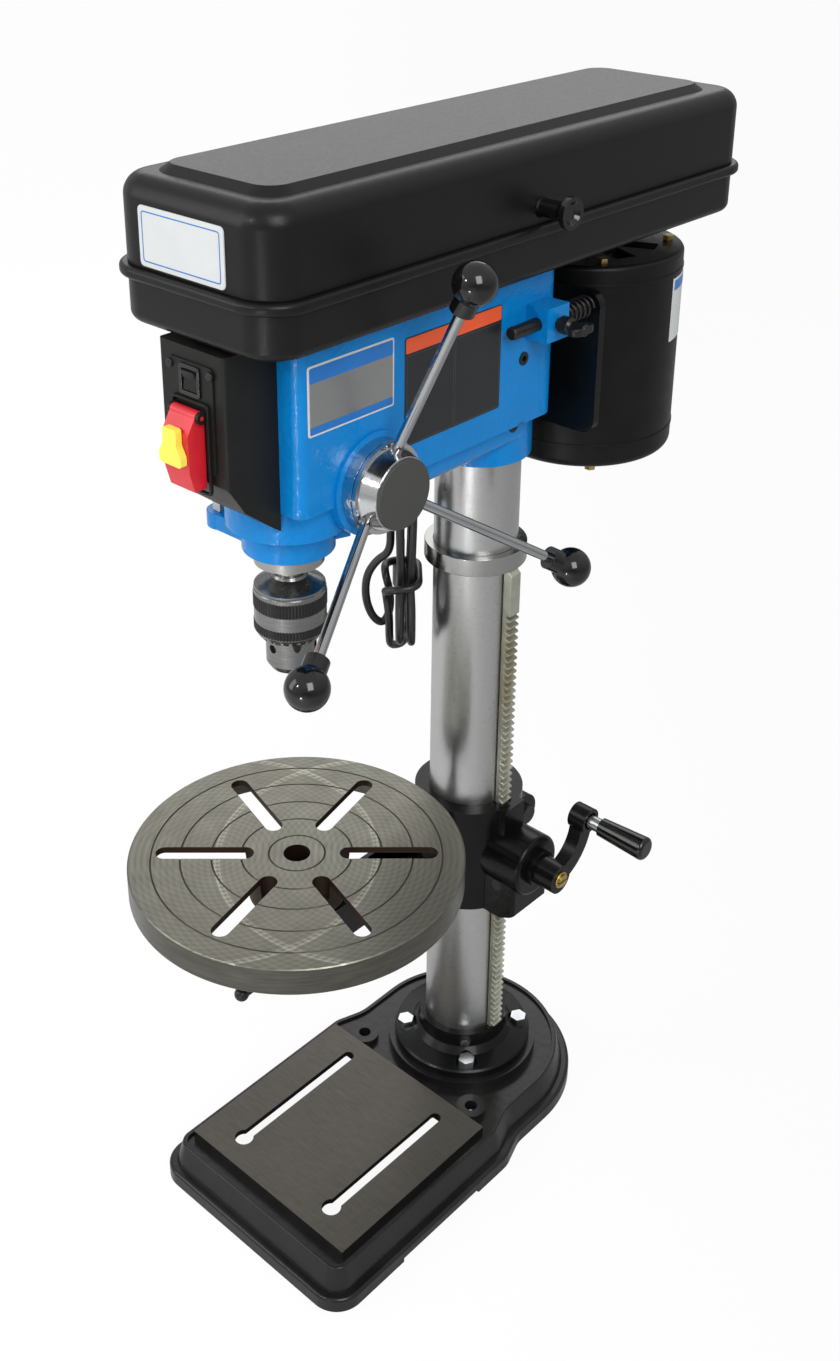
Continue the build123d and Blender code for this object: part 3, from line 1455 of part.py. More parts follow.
def make_motor_bells():
    low = make_motor_bottom_bell()
    high = make_motor_top_bell()
    for index in range(4):
        angle = math.radians(45 + 90 * index)
        x = motor_nut_circle * math.cos(angle)
        y = motor_y + motor_nut_circle * math.sin(angle)
        low += hex_prism(motor_nut_width, motor_bottom - motor_nut_height, motor_bottom + 1, x, y)
        high += hex_prism(motor_nut_width, motor_top - 1, motor_top + motor_nut_height, x, y)
    return Compound(children=[low, high])


def make_motor_plate():
    y0 = motor_plate_y
    y1 = y0 + motor_plate_thickness
    plate = block(-motor_plate_half_width, motor_plate_half_width, y0, y1, *motor_plate_z)
    plate = fillet(plate.edges().filter_by(Axis.Y), motor_plate_round)
    for side in (-1, 1):
        plate -= rod_y(slide_rod_radius, y0 - 1, y1 + 1, side * slide_rod_x, slide_rod_z)
    return plate


def make_slide_rods():
    rods = []
    end = motor_plate_y + motor_plate_thickness
    for side in (-1, 1):
        rod = rod_y(slide_rod_radius, slide_rod_front_y, end, side * slide_rod_x, slide_rod_z)
        rods.append(fillet(rod.edges().group_by(Axis.Y)[0], 2))
    return Compound(children=rods)


def make_tension_spring():
    start = slide_block_y[1] + spring_wire + gap
    length = motor_plate_y - start - spring_wire - gap
    helix = Helix(pitch=length / spring_turns, height=length, radius=spring_radius)
    wire = sweep(Plane(origin=helix @ 0, z_dir=helix % 0) * Circle(spring_wire), path=helix)
    return Pos(slide_rod_x, start, slide_rod_z) * Rot(-90, 0, 0) * wire


def make_wing_screw():
    start = slide_rod_x + slide_rod_radius + gap
    end = slide_block_end + wing_reach
    hub_x = [slide_block_end + place for place in wing_hub_span]
    wing_y = wing_screw_y - wing_half_width, wing_screw_y + wing_half_width
    wing_z = slide_rod_z - wing_half_height, slide_rod_z + wing_half_height
    shank = rod_x(wing_screw_radius, start, end, wing_screw_y, slide_rod_z)
    hub = rod_x(wing_hub_radius, *hub_x, wing_screw_y, slide_rod_z)
    wing = block(end - wing_length, end, *wing_y, *wing_z)
    return shank + hub + fillet(wing.edges().filter_by(Axis.Z), wing_round)


def make_rotor():
    middle = (motor_bottom + motor_top) / 2 - 4
    core = rod_z(rotor_radius, middle - rotor_height / 2, middle + rotor_height / 2, 0, motor_y)
    shaft_top = pulley_bottom + len(motor_steps) * pulley_step
    return core + rod_z(motor_shaft_radius, motor_bottom + 9, shaft_top, 0, motor_y)


def make_stator():
    middle = (motor_bottom + motor_top) / 2 - 4
    half = rotor_height / 2
    return tube_z(motor_radius - motor_wall, rotor_radius + 1, middle - half, middle + half, 0, motor_y)


# Switch
def make_switch_box():
    side = Polyline(
        (switch_front_y, switch_top),
        (switch_front_y, switch_front_bottom),
        (switch_mid_y, switch_mid_bottom),
        (head_front_y, switch_rear_bottom),
        (head_front_y, switch_top),
        close=True,
    )
    plane = Plane(origin=(-switch_half_width, 0, 0), x_dir=(0, 1, 0), z_dir=(1, 0, 0))
    body = extrude(plane * make_face(side), 2 * switch_half_width, dir=(1, 0, 0))
    front = body.edges().filter_by(Axis.Z).group_by(Axis.Y)[0]
    body = fillet(front, 3)
    body -= rod_z(nose_radius + fit, nose_bottom - 20, head_top, 0, spindle_y)
    inside = block(
        -switch_half_width + switch_wall, switch_half_width - switch_wall,
        switch_front_y + switch_wall, head_front_y + 1,
        switch_front_bottom + 2 * switch_wall, switch_top - switch_wall,
    )
    body -= inside
    body -= block(
        -rocker_half_width - 1, rocker_half_width + 1, switch_front_y - 1, switch_front_y + 3,
        rocker_z - rocker_half_height - 1, rocker_z + rocker_half_height + 1,
    )
    for side_x in (-1, 1):
        x = side_x * switch_screw_x
        body -= rod_y(switch_screw_shank + fit, switch_front_y - 1, switch_front_y + 3, x, switch_screw_z)
    return body


def make_switch_plate():
    y1 = switch_front_y
    y0 = y1 - switch_plate_thickness
    plate = block(-switch_plate_half_width, switch_plate_half_width, y0, y1, *switch_plate_z)
    plate = fillet(plate.edges().filter_by(Axis.Y), 3)
    plate -= block(
        -rocker_half_width - gap, rocker_half_width + gap, y0 - 1, y1 + 1,
        rocker_z - rocker_half_height - gap, rocker_z + rocker_half_height + gap,
    )
    axis_y, axis_z = paddle_axis()
    inner = paddle_half_width + gap
    for side in (-1, 1):
        plate -= rod_y(switch_screw_shank + fit, y0 - 1, y1 + 1, side * switch_screw_x, switch_screw_z)
        x0, x1 = sorted((side * inner, side * (inner + paddle_ear_thickness)))
        ear = rod_x(paddle_barrel_radius, x0, x1, axis_y, axis_z)
        ear += block(x0, x1, axis_y, y1, axis_z - paddle_barrel_radius, axis_z + paddle_barrel_radius)
        plate += ear - rod_x(paddle_pin_radius + fit, x0 - 1, x1 + 1, axis_y, axis_z)
    return plate


def make_switch_screws():
    screws = []
    y = switch_front_y - switch_plate_thickness
    for side_x in (-1, 1):
        x = side_x * switch_screw_x
        head = rod_y(switch_screw_radius, y - switch_screw_head, y, x, switch_screw_z)
        head = fillet(head.edges().group_by(Axis.Y)[0], switch_screw_head / 2)
        screws.append(head + rod_y(switch_screw_shank, y, y + switch_screw_length, x, switch_screw_z))
    return screws


def make_rocker():
    y = switch_front_y - switch_plate_thickness
    profile = Polyline(
        (y + 5, rocker_z - rocker_half_height),
        (y - 1, rocker_z - rocker_half_height),
        (y - 0.2, rocker_z),
        (y - 3.2, rocker_z + rocker_half_height),
        (y + 5, rocker_z + rocker_half_height),
        close=True,
    )
    plane = Plane(origin=(-rocker_half_width, 0, 0), x_dir=(0, 1, 0), z_dir=(1, 0, 0))
    return extrude(plane * make_face(profile), 2 * rocker_half_width, dir=(1, 0, 0))


def paddle_axis():
    back = switch_front_y - switch_plate_thickness - gap
    return back - paddle_barrel_radius, paddle_z[1] - paddle_barrel_radius


def make_paddle():
    axis_y, axis_z = paddle_axis()
    back = axis_y + paddle_barrel_radius
    front = back - paddle_depth
    bottom = paddle_z[0]
    side = Polyline(
        (back, axis_z),
        (axis_y - paddle_barrel_radius, axis_z),
        (front, key_z[1] - key_depth),
        (front, bottom + paddle_depth),
        (front + key_depth, bottom),
        (back, bottom + gap),
        close=True,
    )
    plane = Plane(origin=(-paddle_half_width, 0, 0), x_dir=(0, 1, 0), z_dir=(1, 0, 0))
    body = extrude(plane * make_face(side), 2 * paddle_half_width, dir=(1, 0, 0))
    body += rod_x(paddle_barrel_radius, -paddle_half_width, paddle_half_width, axis_y, axis_z)
    pin = paddle_half_width + paddle_ear_thickness
    body += rod_x(paddle_pin_radius, -pin, pin, axis_y, axis_z)
    half = key_half_width + fit
    low, high = key_stem_z()
    return body - block(-half, half, front - 1, back - key_depth + fit, low - fit, high + fit)


def key_stem_z():
    return key_z[0] + key_stem_margin, key_z[1] - key_stem_margin


def make_key():
    axis_y, axis_z = paddle_axis()
    back = axis_y + paddle_barrel_radius - key_depth
    face = axis_y + paddle_barrel_radius - paddle_depth - gap
    right = [
        (key_head_foot, key_z[0]),
        (key_head_foot, key_z[0] + key_foot_height),
        (key_head_top, key_z[0] + key_shoulder),
        (key_head_top, key_z[1]),
    ]
    left = [(-x, z) for x, z in reversed(right)]
    outline = fillet(make_face(Polyline(*right, *left, close=True)).vertices(), key_corner)
    head = Pos(0, face, 0) * extrude(Plane.XZ * outline, key_proud)
    return head + block(-key_half_width, key_half_width, face - 1, back, *key_stem_z())


# Cord
def make_gland():
    top = head_cavity_floor - 2
    shank = rod_z(gland_radius, head_belly_bottom - 1, top, gland_x, gland_y)
    flange_start = head_belly_bottom - gland_flange
    nozzle_end = head_belly_bottom - gland_length
    flange = rod_z(gland_radius + 3, flange_start, head_belly_bottom, gland_x, gland_y)
    nozzle = turned(
        [
            (cord_radius, nozzle_end),
            (cord_radius + gland_lip, nozzle_end),
            (gland_radius, flange_start),
            (cord_radius, flange_start),
        ],
        gland_x, gland_y,
    )
    bore = rod_z(cord_radius, nozzle_end - 1, top + 1, gland_x, gland_y)
    return shank + flange + nozzle - bore


# Tail of the cord, from the foot of the hank to the plug
tail_bend = hank_bottom - tail_drop
tail_foot = tail_bend - tail_sag
cord_tail = [
    (hank_x - 4.5, hank_y + 2.5, hank_bottom),
    (hank_x - 4.5, hank_y + 2.5, tail_bend),
    (hank_x - 11.7, hank_y + 11.7, tail_foot),
    (plug_x + 7.0, plug_y - 9.0, tail_foot + 0.5),
    (plug_x, plug_y, tail_bend),
    (plug_x, plug_y, plug_bottom),
]


def route_radii(points):
    radii = []
    for before, corner, after in zip(points, points[1:], points[2:]):
        into = Vector(*corner) - Vector(*before)
        out = Vector(*after) - Vector(*corner)
        half_turn = math.radians(into.get_angle(out)) / 2
        radii.append(0.45 * min(into.length, out.length) / math.tan(half_turn))
    return radii


def make_cord_tail():
    radii = route_radii(cord_tail)
    print("cord tail radii", [round(radius, 1) for radius in radii])
    path = FilletPolyline(*cord_tail, radius=radii)
    section = Plane(origin=path @ 0, z_dir=path % 0) * Circle(cord_radius)
    return sweep(section, path=path)


def make_cord_drop():
    return rod_z(cord_radius, hank_top, head_belly_bottom - gland_flange, gland_x, gland_y)


def make_hank():
    face = RectangleRounded(2 * hank_half_width, 2 * hank_half_depth, hank_half_depth - 1)
    body = extrude(face, hank_top - hank_bottom)
    body = fillet(body.edges().group_by(Axis.Z)[0] + body.edges().group_by(Axis.Z)[-1], 4)
    return Pos(hank_x, hank_y, hank_bottom) * Rot(0, 0, hank_heading) * body


def make_plug():
    top = plug_bottom + plug_length
    body = turned(
        [
            (0, plug_bottom),
            (cord_radius + gland_lip, plug_bottom),
            (cord_radius + plug_neck, plug_bottom + plug_neck_length),
            (plug_radius, plug_bottom + plug_body_start),
            (plug_radius, top - plug_edge),
            (plug_radius - plug_edge, top),
            (0, top),
        ],
        plug_x, plug_y,
    )
    for side in (-1, 1):
        x = plug_x + side * blade_spacing / 2
        blade_x = x - blade_thickness / 2, x + blade_thickness / 2
        blade_y = plug_y - blade_width / 2, plug_y + blade_width / 2
        body += block(*blade_x, *blade_y, top - 1, top + blade_length)
    pin_end = top + blade_length + earth_pin_extra
    return body + rod_z(earth_pin_radius, top - 1, pin_end, plug_x, plug_y + earth_pin_offset)


frame_screws = [*make_flange_bolts(), *make_set_screws(), *make_switch_screws()]

nodes = {
    "base_casting": make_base(),
    "column_flange": make_flange(),
    "frame_screws": Compound(children=frame_screws),
    "column_tube": make_column(),
    "table_rack": make_rack(),
    "rack_collar": make_rack_collar(),
    "table_bracket": make_bracket(),
    "lift_gear": make_lift_gear(),
    "worm_shaft": make_worm_shaft(),
    "crank_arm": Compound(children=[make_crank_arm(), make_crank_pin()]),
    "crank_grip": make_crank_grip(),
    "column_lock_lever": make_lock_bolt(),
    "table_arm": Compound(children=[make_table_arm(), make_tilt_nut()]),
    "table_clamp_lever": make_table_lever(),
    "work_table": make_table(),
    "head_casting": cut_head(make_head()),
    "pinion_shaft": make_pinion_shaft(),
    "feed_hub": Compound(children=[make_feed_hub(), make_hub_cap()]),
    "feed_rods": make_feed_rods(),
    "feed_knobs": make_feed_knobs(),
    "spring_case": make_return_case(),
    "return_spring": make_return_spring(),
    "quill": make_quill(),
    "quill_bearings": make_quill_bearings(),
    "depth_collar": make_depth_collar(),
    "depth_rod": make_depth_rod(),
    "depth_nuts": make_depth_nuts(),
    "spindle": make_spindle(),
    "chuck_body": make_chuck_body(),
    "chuck_sleeve": make_chuck_sleeve(),
    "spindle_pulley": make_spindle_pulley(),
    "sleeve_bearings": make_sleeve_bearings(),
    "idler_arm": make_idler_arm(),
    "idler_pulley": stepped_pulley(idler_steps, idler_shaft_radius + fit, 0, idler_y),
    "motor_pulley": stepped_pulley(motor_steps, motor_shaft_radius, 0, motor_y),
    "front_belt": make_belt(front_belt_index, spindle_y, spindle_belt_radius, idler_y, idler_front_radius),
    "motor_belt": make_belt(motor_belt_index, idler_y, idler_rear_radius, motor_y, motor_belt_radius),
    "belt_pan": make_pan(),
    "belt_cover": make_cover(),
    "cover_knob": make_cover_knob(),
    "hinge_pins": make_hinge_pins(),
    "motor_shell": make_motor_shell(),
    "motor_bells": make_motor_bells(),
    "motor_plate": make_motor_plate(),
    "motor_rotor": make_rotor(),
    "slide_rods": make_slide_rods(),
    "tension_spring": make_tension_spring(),
    "wing_screw": make_wing_screw(),
    "switch_box": make_switch_box(),
    "switch_plate": make_switch_plate(),
    "switch_paddle": make_paddle(),
    "safety_key": make_key(),
    "light_rocker": make_rocker(),
    "strain_relief": make_gland(),
    "cord_lead": Compound(children=[make_cord_drop(), make_cord_tail()]),
    "cord_hank": make_hank(),
    "cord_plug": make_plug(),
}
for index in range(jaw_count):
    nodes[f"chuck_jaw_{index + 1}"] = make_jaw(index)

os.makedirs("parts", exist_ok=True)
for name, solid in nodes.items():
    export_step(solid, f"parts/{name}.step")
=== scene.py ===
import bpy
import math
from mathutils import Matrix, Vector


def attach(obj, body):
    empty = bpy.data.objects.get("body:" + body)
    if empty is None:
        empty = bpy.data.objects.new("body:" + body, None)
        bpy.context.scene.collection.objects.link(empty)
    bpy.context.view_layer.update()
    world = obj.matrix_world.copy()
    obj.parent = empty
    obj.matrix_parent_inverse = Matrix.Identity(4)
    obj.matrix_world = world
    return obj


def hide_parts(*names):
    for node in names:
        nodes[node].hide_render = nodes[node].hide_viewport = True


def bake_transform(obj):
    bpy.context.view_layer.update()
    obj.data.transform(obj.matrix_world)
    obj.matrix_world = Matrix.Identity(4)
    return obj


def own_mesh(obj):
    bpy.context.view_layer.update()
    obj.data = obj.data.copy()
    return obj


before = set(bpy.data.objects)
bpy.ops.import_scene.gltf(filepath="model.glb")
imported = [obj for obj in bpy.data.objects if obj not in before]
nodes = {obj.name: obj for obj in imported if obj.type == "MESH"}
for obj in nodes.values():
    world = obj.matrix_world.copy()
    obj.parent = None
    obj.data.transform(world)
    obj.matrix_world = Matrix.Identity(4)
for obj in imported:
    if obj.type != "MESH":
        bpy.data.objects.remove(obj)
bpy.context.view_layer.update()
MM = 0.001

# Places shared with the part's source, in millimetres
SPINDLE_Y = -205.5
FEED_Y = -172.5
FEED_Z = 676.0
HEAD_SIDE_X = 50.0
BOSS_RADIUS = 33.0
BOSS_LIP = 2.0
HUB_END_X = 77.0
COVER_FRONT_Y = -285.0
SWITCH_FACE_Y = -286.2
SWITCH_SCREWS = ((-19.0, 776.0), (19.0, 776.0))
PADDLE_Z = 725.0
ROCKER_Z = 768.5
MOTOR_Y = 133.0
MOTOR_RADIUS = 75.0
MOTOR_BOTTOM = 604.0
MOTOR_TOP = 772.0
TABLE_GROOVES = (21.6, 42.8, 65.5, 89.4, 111.9)
TABLE_SLOT_END = 110.0
PAD_TOP = 40.0
PAD_REAR_Y = -76.0
SLEEVE_RADIUS = 26.0
CRANK_END_X = 102.0
CRANK_Z = 269.0
EYE_END_X = 104.0
GLAND = (-18.0, -56.0, 624.0)
PLUG = (-60.0, -15.6)
PLUG_FACE = 517.0
WING_PLACE = (70.0, 1.5, 751.0)
SPRING_CASE_X = -73.0
COLLAR_RADIUS = 40.0

# Patterns of the looks in millimetres, with the radius and half width of the table's painted highlight arcs,
# and the height over which the frame's screws are black
GROOVE_HALF = 0.75
SWIRL_X = 46.0
SWIRL_Y = 43.0
SWIRL_PITCH = 4.8
SWIRL_HIGHLIGHT_RADIUS = 124.0
SWIRL_HIGHLIGHT_HALF = 2.2
THREAD_PITCH = 1.25
HEAD_SCREWS_Z = 100.0

# How far a painted face's mask and a piece's seat reach past the face, in millimetres
MASK_MARGIN = 0.2
SUNK = -0.2

# Bevels and welds in millimetres, and the sharpest angle left without a bevel in degrees
SOLID_EDGE = 0.6
FOLLOWER_EDGE = 0.3
PLATE_EDGE = 0.25
PRINT_EDGE = 0.05
TURNED_EDGE = 0.2
LABEL_EDGE = 0.1
BEVEL_ANGLE = 28
WELD_GAP = 0.01

# Camera, and the directions in plan away from it and to its right
CAMERA_PLACE = (0.72064, -0.88055, 1.12253)
CAMERA_DIP = 24.61
CAMERA_TURN = 43.25
CAMERA_LENS = 41.81
CAMERA_SHIFT = (0.0308, -0.1453)
ALONG = Vector((-0.685, 0.728, 0))
ASIDE = Vector((0.728, 0.685, 0))


def link(name, data):
    piece = bpy.data.objects.new(name, data)
    bpy.context.scene.collection.objects.link(piece)
    return piece


# Camera at the photograph's place
camera = link("camera", bpy.data.cameras.new("camera"))
camera.location = CAMERA_PLACE
camera.rotation_euler = (math.radians(90 - CAMERA_DIP), 0, math.radians(CAMERA_TURN))
camera.data.sensor_width = 36
camera.data.lens = CAMERA_LENS
camera.data.shift_x, camera.data.shift_y = CAMERA_SHIFT
camera.data.clip_start = 0.01
camera.data.clip_end = 100
bpy.context.scene.camera = camera


# Node graphs
class Graph:
    """A node tree with short ways to add and wire nodes."""

    def __init__(self, tree):
        self.tree = tree

    def add(self, kind, *wires, **settings):
        node = self.tree.nodes.new("ShaderNode" + kind)
        for key, value in settings.items():
            setattr(node, key, value)
        for socket, value in zip(node.inputs, wires):
            self.feed(socket, value)
        return node

    def feed(self, socket, value):
        if isinstance(value, bpy.types.NodeSocket):
            self.tree.links.new(value, socket)
        elif value is not None:
            socket.default_value = value

    def math(self, operation, *values):
        return self.add("Math", *values, operation=operation).outputs[0]

    def times(self, first, second):
        return self.math("MULTIPLY", first, second)

    def along(self, vector, direction):
        return self.add("VectorMath", vector, tuple(direction), operation="DOT_PRODUCT").outputs["Value"]

    def between(self, value, low, high, out_low=0.0, out_high=1.0):
        return self.add("MapRange", value, low, high, out_low, out_high).outputs[0]

    def mix_value(self, share, first, second):
        node = self.add("Mix", data_type="FLOAT")
        self.feed(node.inputs[0], share)
        self.feed(node.inputs[2], first)
        self.feed(node.inputs[3], second)
        return node.outputs[0]

    def camera_white(self, share, lit, white, output):
        """The lit shader, or the white one for that share of what the camera sees."""
        either = self.add("MixShader", share, lit.outputs[0], white.outputs[0])
        self.feed(self.tree.nodes[output].inputs["Surface"], either.outputs[0])


class Look(Graph):
    """A material on the principled shader, laid out in the object's own coordinates."""

    def __init__(self, name, color, rough, metal=0.0, **constants):
        self.material = bpy.data.materials.new(name)
        self.material.use_nodes = True
        super().__init__(self.material.node_tree)
        self.shader = self.tree.nodes["Principled BSDF"]
        self.coords = self.add("TexCoord").outputs["Object"]
        self.set("Base Color", (*color, 1))
        self.set("Roughness", rough)
        self.set("Metallic", metal)
        for socket, value in constants.items():
            self.set(socket.replace("_", " "), value)

    def set(self, socket, value):
        self.feed(self.shader.inputs[socket], value)

    def now(self, socket):
        target = self.shader.inputs[socket]
        if target.is_linked:
            return target.links[0].from_socket
        return target.default_value

    def scaled(self, stretch, shift=(0, 0, 0)):
        node = self.add("Mapping", self.coords)
        node.inputs["Location"].default_value = shift
        node.inputs["Scale"].default_value = stretch
        return node.outputs[0]

    def noise(self, scale, detail=3.0, stretch=(1, 1, 1), rough=0.5):
        node = self.add("TexNoise", self.scaled(stretch))
        node.inputs["Scale"].default_value = scale
        node.inputs["Detail"].default_value = detail
        node.inputs["Roughness"].default_value = rough
        return node.outputs["Fac"]

    def mix(self, share, first, second):
        node = self.add("Mix", data_type="RGBA")
        self.feed(node.inputs[0], share)
        for index, value in ((6, first), (7, second)):
            wired = value if isinstance(value, bpy.types.NodeSocket) else (*tuple(value)[:3], 1)
            self.feed(node.inputs[index], wired)
        return node.outputs[2]

    def axis(self, index):
        return self.add("SeparateXYZ", self.coords).outputs[index]

    def above(self, index, place):
        return self.math("GREATER_THAN", self.axis(index), place * MM)

    def below(self, index, place):
        return self.math("LESS_THAN", self.axis(index), place * MM)

    def ripple(self, distance, pitch):
        return self.math("SINE", self.times(distance, 2 * math.pi / (pitch * MM)))

    def facing_up(self):
        normal = self.add("NewGeometry").outputs["Normal"]
        return self.add("SeparateXYZ", normal).outputs[2]

    def reach(self, index, first, second):
        """Distance from a line along one axis, through the other two coordinates in millimetres."""
        places = [first, second]
        places.insert(index, 0.0)
        flat = [1, 1, 1]
        flat[index] = 0
        moved = self.scaled(flat, [-place * MM for place in places])
        return self.add("VectorMath", moved, operation="LENGTH").outputs["Value"]

    def bump(self, height, strength, distance):
        node = self.add("Bump")
        node.inputs["Strength"].default_value = strength
        node.inputs["Distance"].default_value = distance
        self.feed(node.inputs["Height"], height)
        self.set("Normal", node.outputs[0])

    def tint(self, share, color):
        self.set("Base Color", self.mix(share, self.now("Base Color"), color))

    def overlay(self, mask, color, rough, metal=None):
        self.tint(mask, color)
        self.set("Roughness", self.mix_value(mask, self.now("Roughness"), rough))
        if metal is not None:
            self.set("Metallic", self.mix_value(mask, self.now("Metallic"), metal))


def shade(color, factor):
    return tuple(min(1.0, channel * factor) for channel in color)


def finish(name, color, rough, metal=0.0, mottle=0.12, patch=40, grain=900, depth=0.00008, **constants):
    """A plain surface with mottled colour, uneven gloss and a fine grain."""
    look = Look(name, color, rough, metal, **constants)
    spread = look.between(look.noise(patch, 5), 0.3, 0.7)
    look.set("Base Color", look.mix(spread, shade(color, 1 - mottle), shade(color, 1 + mottle)))
    look.set("Roughness", look.between(look.noise(patch * 3, 4), 0.3, 0.7, rough * 0.92, rough * 1.08))
    look.bump(look.noise(grain, 4), 0.5, depth)
    return look


def brushed(name, color, rough, stretch, contrast=0.12, scale=60, depth=0.00003):
    """Metal with fine lines, packed closest along the axis with the largest stretch."""
    look = Look(name, color, rough, 1.0)
    lines = look.between(look.noise(scale, 6, stretch, 0.7), 0.3, 0.7)
    look.set("Base Color", look.mix(lines, shade(color, 1 - contrast), shade(color, 1 + contrast)))
    look.set("Roughness", look.between(lines, 0, 1, rough * 0.8, rough * 1.25))
    look.bump(lines, 0.3, depth)
    return look


# Colours that more than one look shares, and the two black paints: one black enamel in a lighter copy for the
# base and a darker copy, painted shade, for the rest
SHADED_BLACK_PAINT = (0.0034, 0.0038, 0.0034)
BASE_PAINT = (0.0080, 0.0086, 0.0080)
CHROME = (0.56, 0.57, 0.58)
BRASS = (0.50, 0.36, 0.12)
STEEL = (0.36, 0.36, 0.35)
ZINC = (0.62, 0.64, 0.66)
MOTOR_PAINT = (0.0056, 0.006, 0.0054)
WHITE = (1, 1, 1, 1)


# Looks of castings, painted sheet, metals, plastics and rubber
def blue_enamel(name):
    return finish(name, (0.0022, 0.198, 0.55), 0.13, patch=22, mottle=0.05, grain=170, depth=0.0017,
                  Specular_IOR_Level=0.24)


def head_look():
    look = blue_enamel("head_enamel")
    across = look.reach(0, FEED_Y, FEED_Z)
    near = look.math("LESS_THAN", across, (BOSS_RADIUS + 1) * MM)
    boss = look.times(look.above(0, HEAD_SIDE_X + BOSS_LIP + MASK_MARGIN), near)
    look.overlay(boss, CHROME, 0.12, 1.0)
    return look


# Black castings take the darker copy of the enamel, which is painted shade, unless given another paint
def black_casting(name, paint=SHADED_BLACK_PAINT, gloss=0.18):
    return finish(name, paint, 0.24, grain=130, depth=0.00045, mottle=0.3, patch=30, Specular_IOR_Level=gloss)


def base_look():
    look = black_casting("base_enamel", BASE_PAINT, 0.32)
    pad = look.times(look.above(2, PAD_TOP - 2 * MASK_MARGIN), look.below(1, PAD_REAR_Y))
    lines = look.between(look.noise(55, 5, (1, 14, 1), 0.7), 0.3, 0.7)
    worn = look.between(look.noise(11, 4), 0.35, 0.75)
    metal = look.mix(lines, (0.072, 0.067, 0.058), (0.104, 0.097, 0.085))
    metal = look.mix(look.times(worn, 0.35), metal, (0.125, 0.118, 0.105))
    look.overlay(pad, metal, 0.42, 0.85)
    return look


def table_look():
    iron = (0.165, 0.161, 0.134)
    look = Look("machined_iron", iron, 0.34, 0.92)
    radius = look.reach(2, 0, SPINDLE_Y)
    arcs = [look.reach(2, side * SWIRL_X, SPINDLE_Y + side * SWIRL_Y) for side in (-1, 1)]
    swirl = [look.ripple(arc, SWIRL_PITCH) for arc in arcs]
    crossing = look.between(look.math("ADD", *swirl), -2, 2)
    wear = look.noise(50, 6, rough=0.6)
    look.set("Base Color", look.mix(crossing, shade(iron, 0.84), shade(iron, 1.15)))
    # Painted highlight: a bright arc in each family of swirl marks
    for arc in arcs:
        painted_highlight = look.math("COMPARE", arc, SWIRL_HIGHLIGHT_RADIUS * MM, SWIRL_HIGHLIGHT_HALF * MM)
        look.tint(look.times(look.times(painted_highlight, crossing), 0.85), shade(iron, 2.3))
    stain = look.between(look.noise(14, 5), 0.42, 0.75)
    look.tint(look.times(stain, 0.45), (0.15, 0.14, 0.112))
    look.set("Roughness", look.between(wear, 0.3, 0.7, 0.28, 0.42))
    for groove in TABLE_GROOVES:
        line = look.math("COMPARE", radius, groove * MM, GROOVE_HALF * MM)
        look.tint(look.times(line, 0.8), (0.035, 0.032, 0.027))
    side = look.math("LESS_THAN", look.facing_up(), 0.5)
    edge = look.between(look.noise(40, 5, (1, 1, 12)), 0.3, 0.7)
    look.tint(side, look.mix(edge, (0.080, 0.078, 0.067), (0.122, 0.118, 0.102)))
    inner = look.math("LESS_THAN", radius, TABLE_SLOT_END * MM)
    look.overlay(look.times(side, inner), (0.034, 0.020, 0.015), 0.6)
    look.bump(crossing, 0.12, 0.00005)
    return look


def rack_look():
    look = finish("rack_steel", (0.48, 0.485, 0.41), 0.38, 0.85, mottle=0.16, patch=60, grain=600)
    stain = look.between(look.noise(30, 5, (1, 1, 0.4)), 0.52, 0.68)
    look.overlay(look.times(stain, 0.75), (0.30, 0.235, 0.075), 0.5)
    return look


def screw_look():
    look = finish("bolt_zinc", ZINC, 0.3, 1.0, grain=500, depth=0.00006)
    look.overlay(look.above(2, HEAD_SCREWS_Z), (0.009, 0.009, 0.009), 0.4, 0.2)
    return look


def hub_look():
    look = brushed("hub_chrome", CHROME, 0.14, (30, 1, 1), contrast=0.06)
    look.overlay(look.above(0, HUB_END_X + MASK_MARGIN), (0.046, 0.048, 0.043), 0.62, 0.0)
    speck = look.between(look.noise(1500, 3), 0.5, 0.7)
    look.tint(look.times(speck, 0.25), (0.03, 0.03, 0.028))
    return look


def motor_bell_look():
    look = finish("motor_bell_black", MOTOR_PAINT, 0.38, grain=900, depth=0.00012, mottle=0.2,
                  Specular_IOR_Level=0.17)
    stud_tops = look.above(2, MOTOR_TOP + MASK_MARGIN)
    stud_ends = look.below(2, MOTOR_BOTTOM - MASK_MARGIN)
    look.overlay(look.math("ADD", stud_tops, stud_ends), BRASS, 0.3, 1.0)
    return look


def crank_look():
    look = black_casting("crank_enamel")
    look.overlay(look.above(0, EYE_END_X + MASK_MARGIN), (0.42, 0.43, 0.42), 0.3, 1.0)
    return look


def plug_look():
    look = finish("plug_rubber", (0.011, 0.011, 0.011), 0.42, grain=800, depth=0.00008)
    look.overlay(look.above(2, PLUG_FACE + MASK_MARGIN), BRASS, 0.28, 1.0)
    return look


def thread_look():
    look = Look("threaded_rod", (0.55, 0.55, 0.53), 0.32, 1.0)
    thread_relief_and_shade = look.between(look.ripple(look.axis(2), THREAD_PITCH), -1, 1)
    # The dark thread roots are painted shade; the same ridges also make the bump
    look.set("Base Color", look.mix(thread_relief_and_shade, (0.22, 0.22, 0.21), (0.62, 0.62, 0.60)))
    look.bump(thread_relief_and_shade, 0.6, 0.0004)
    return look


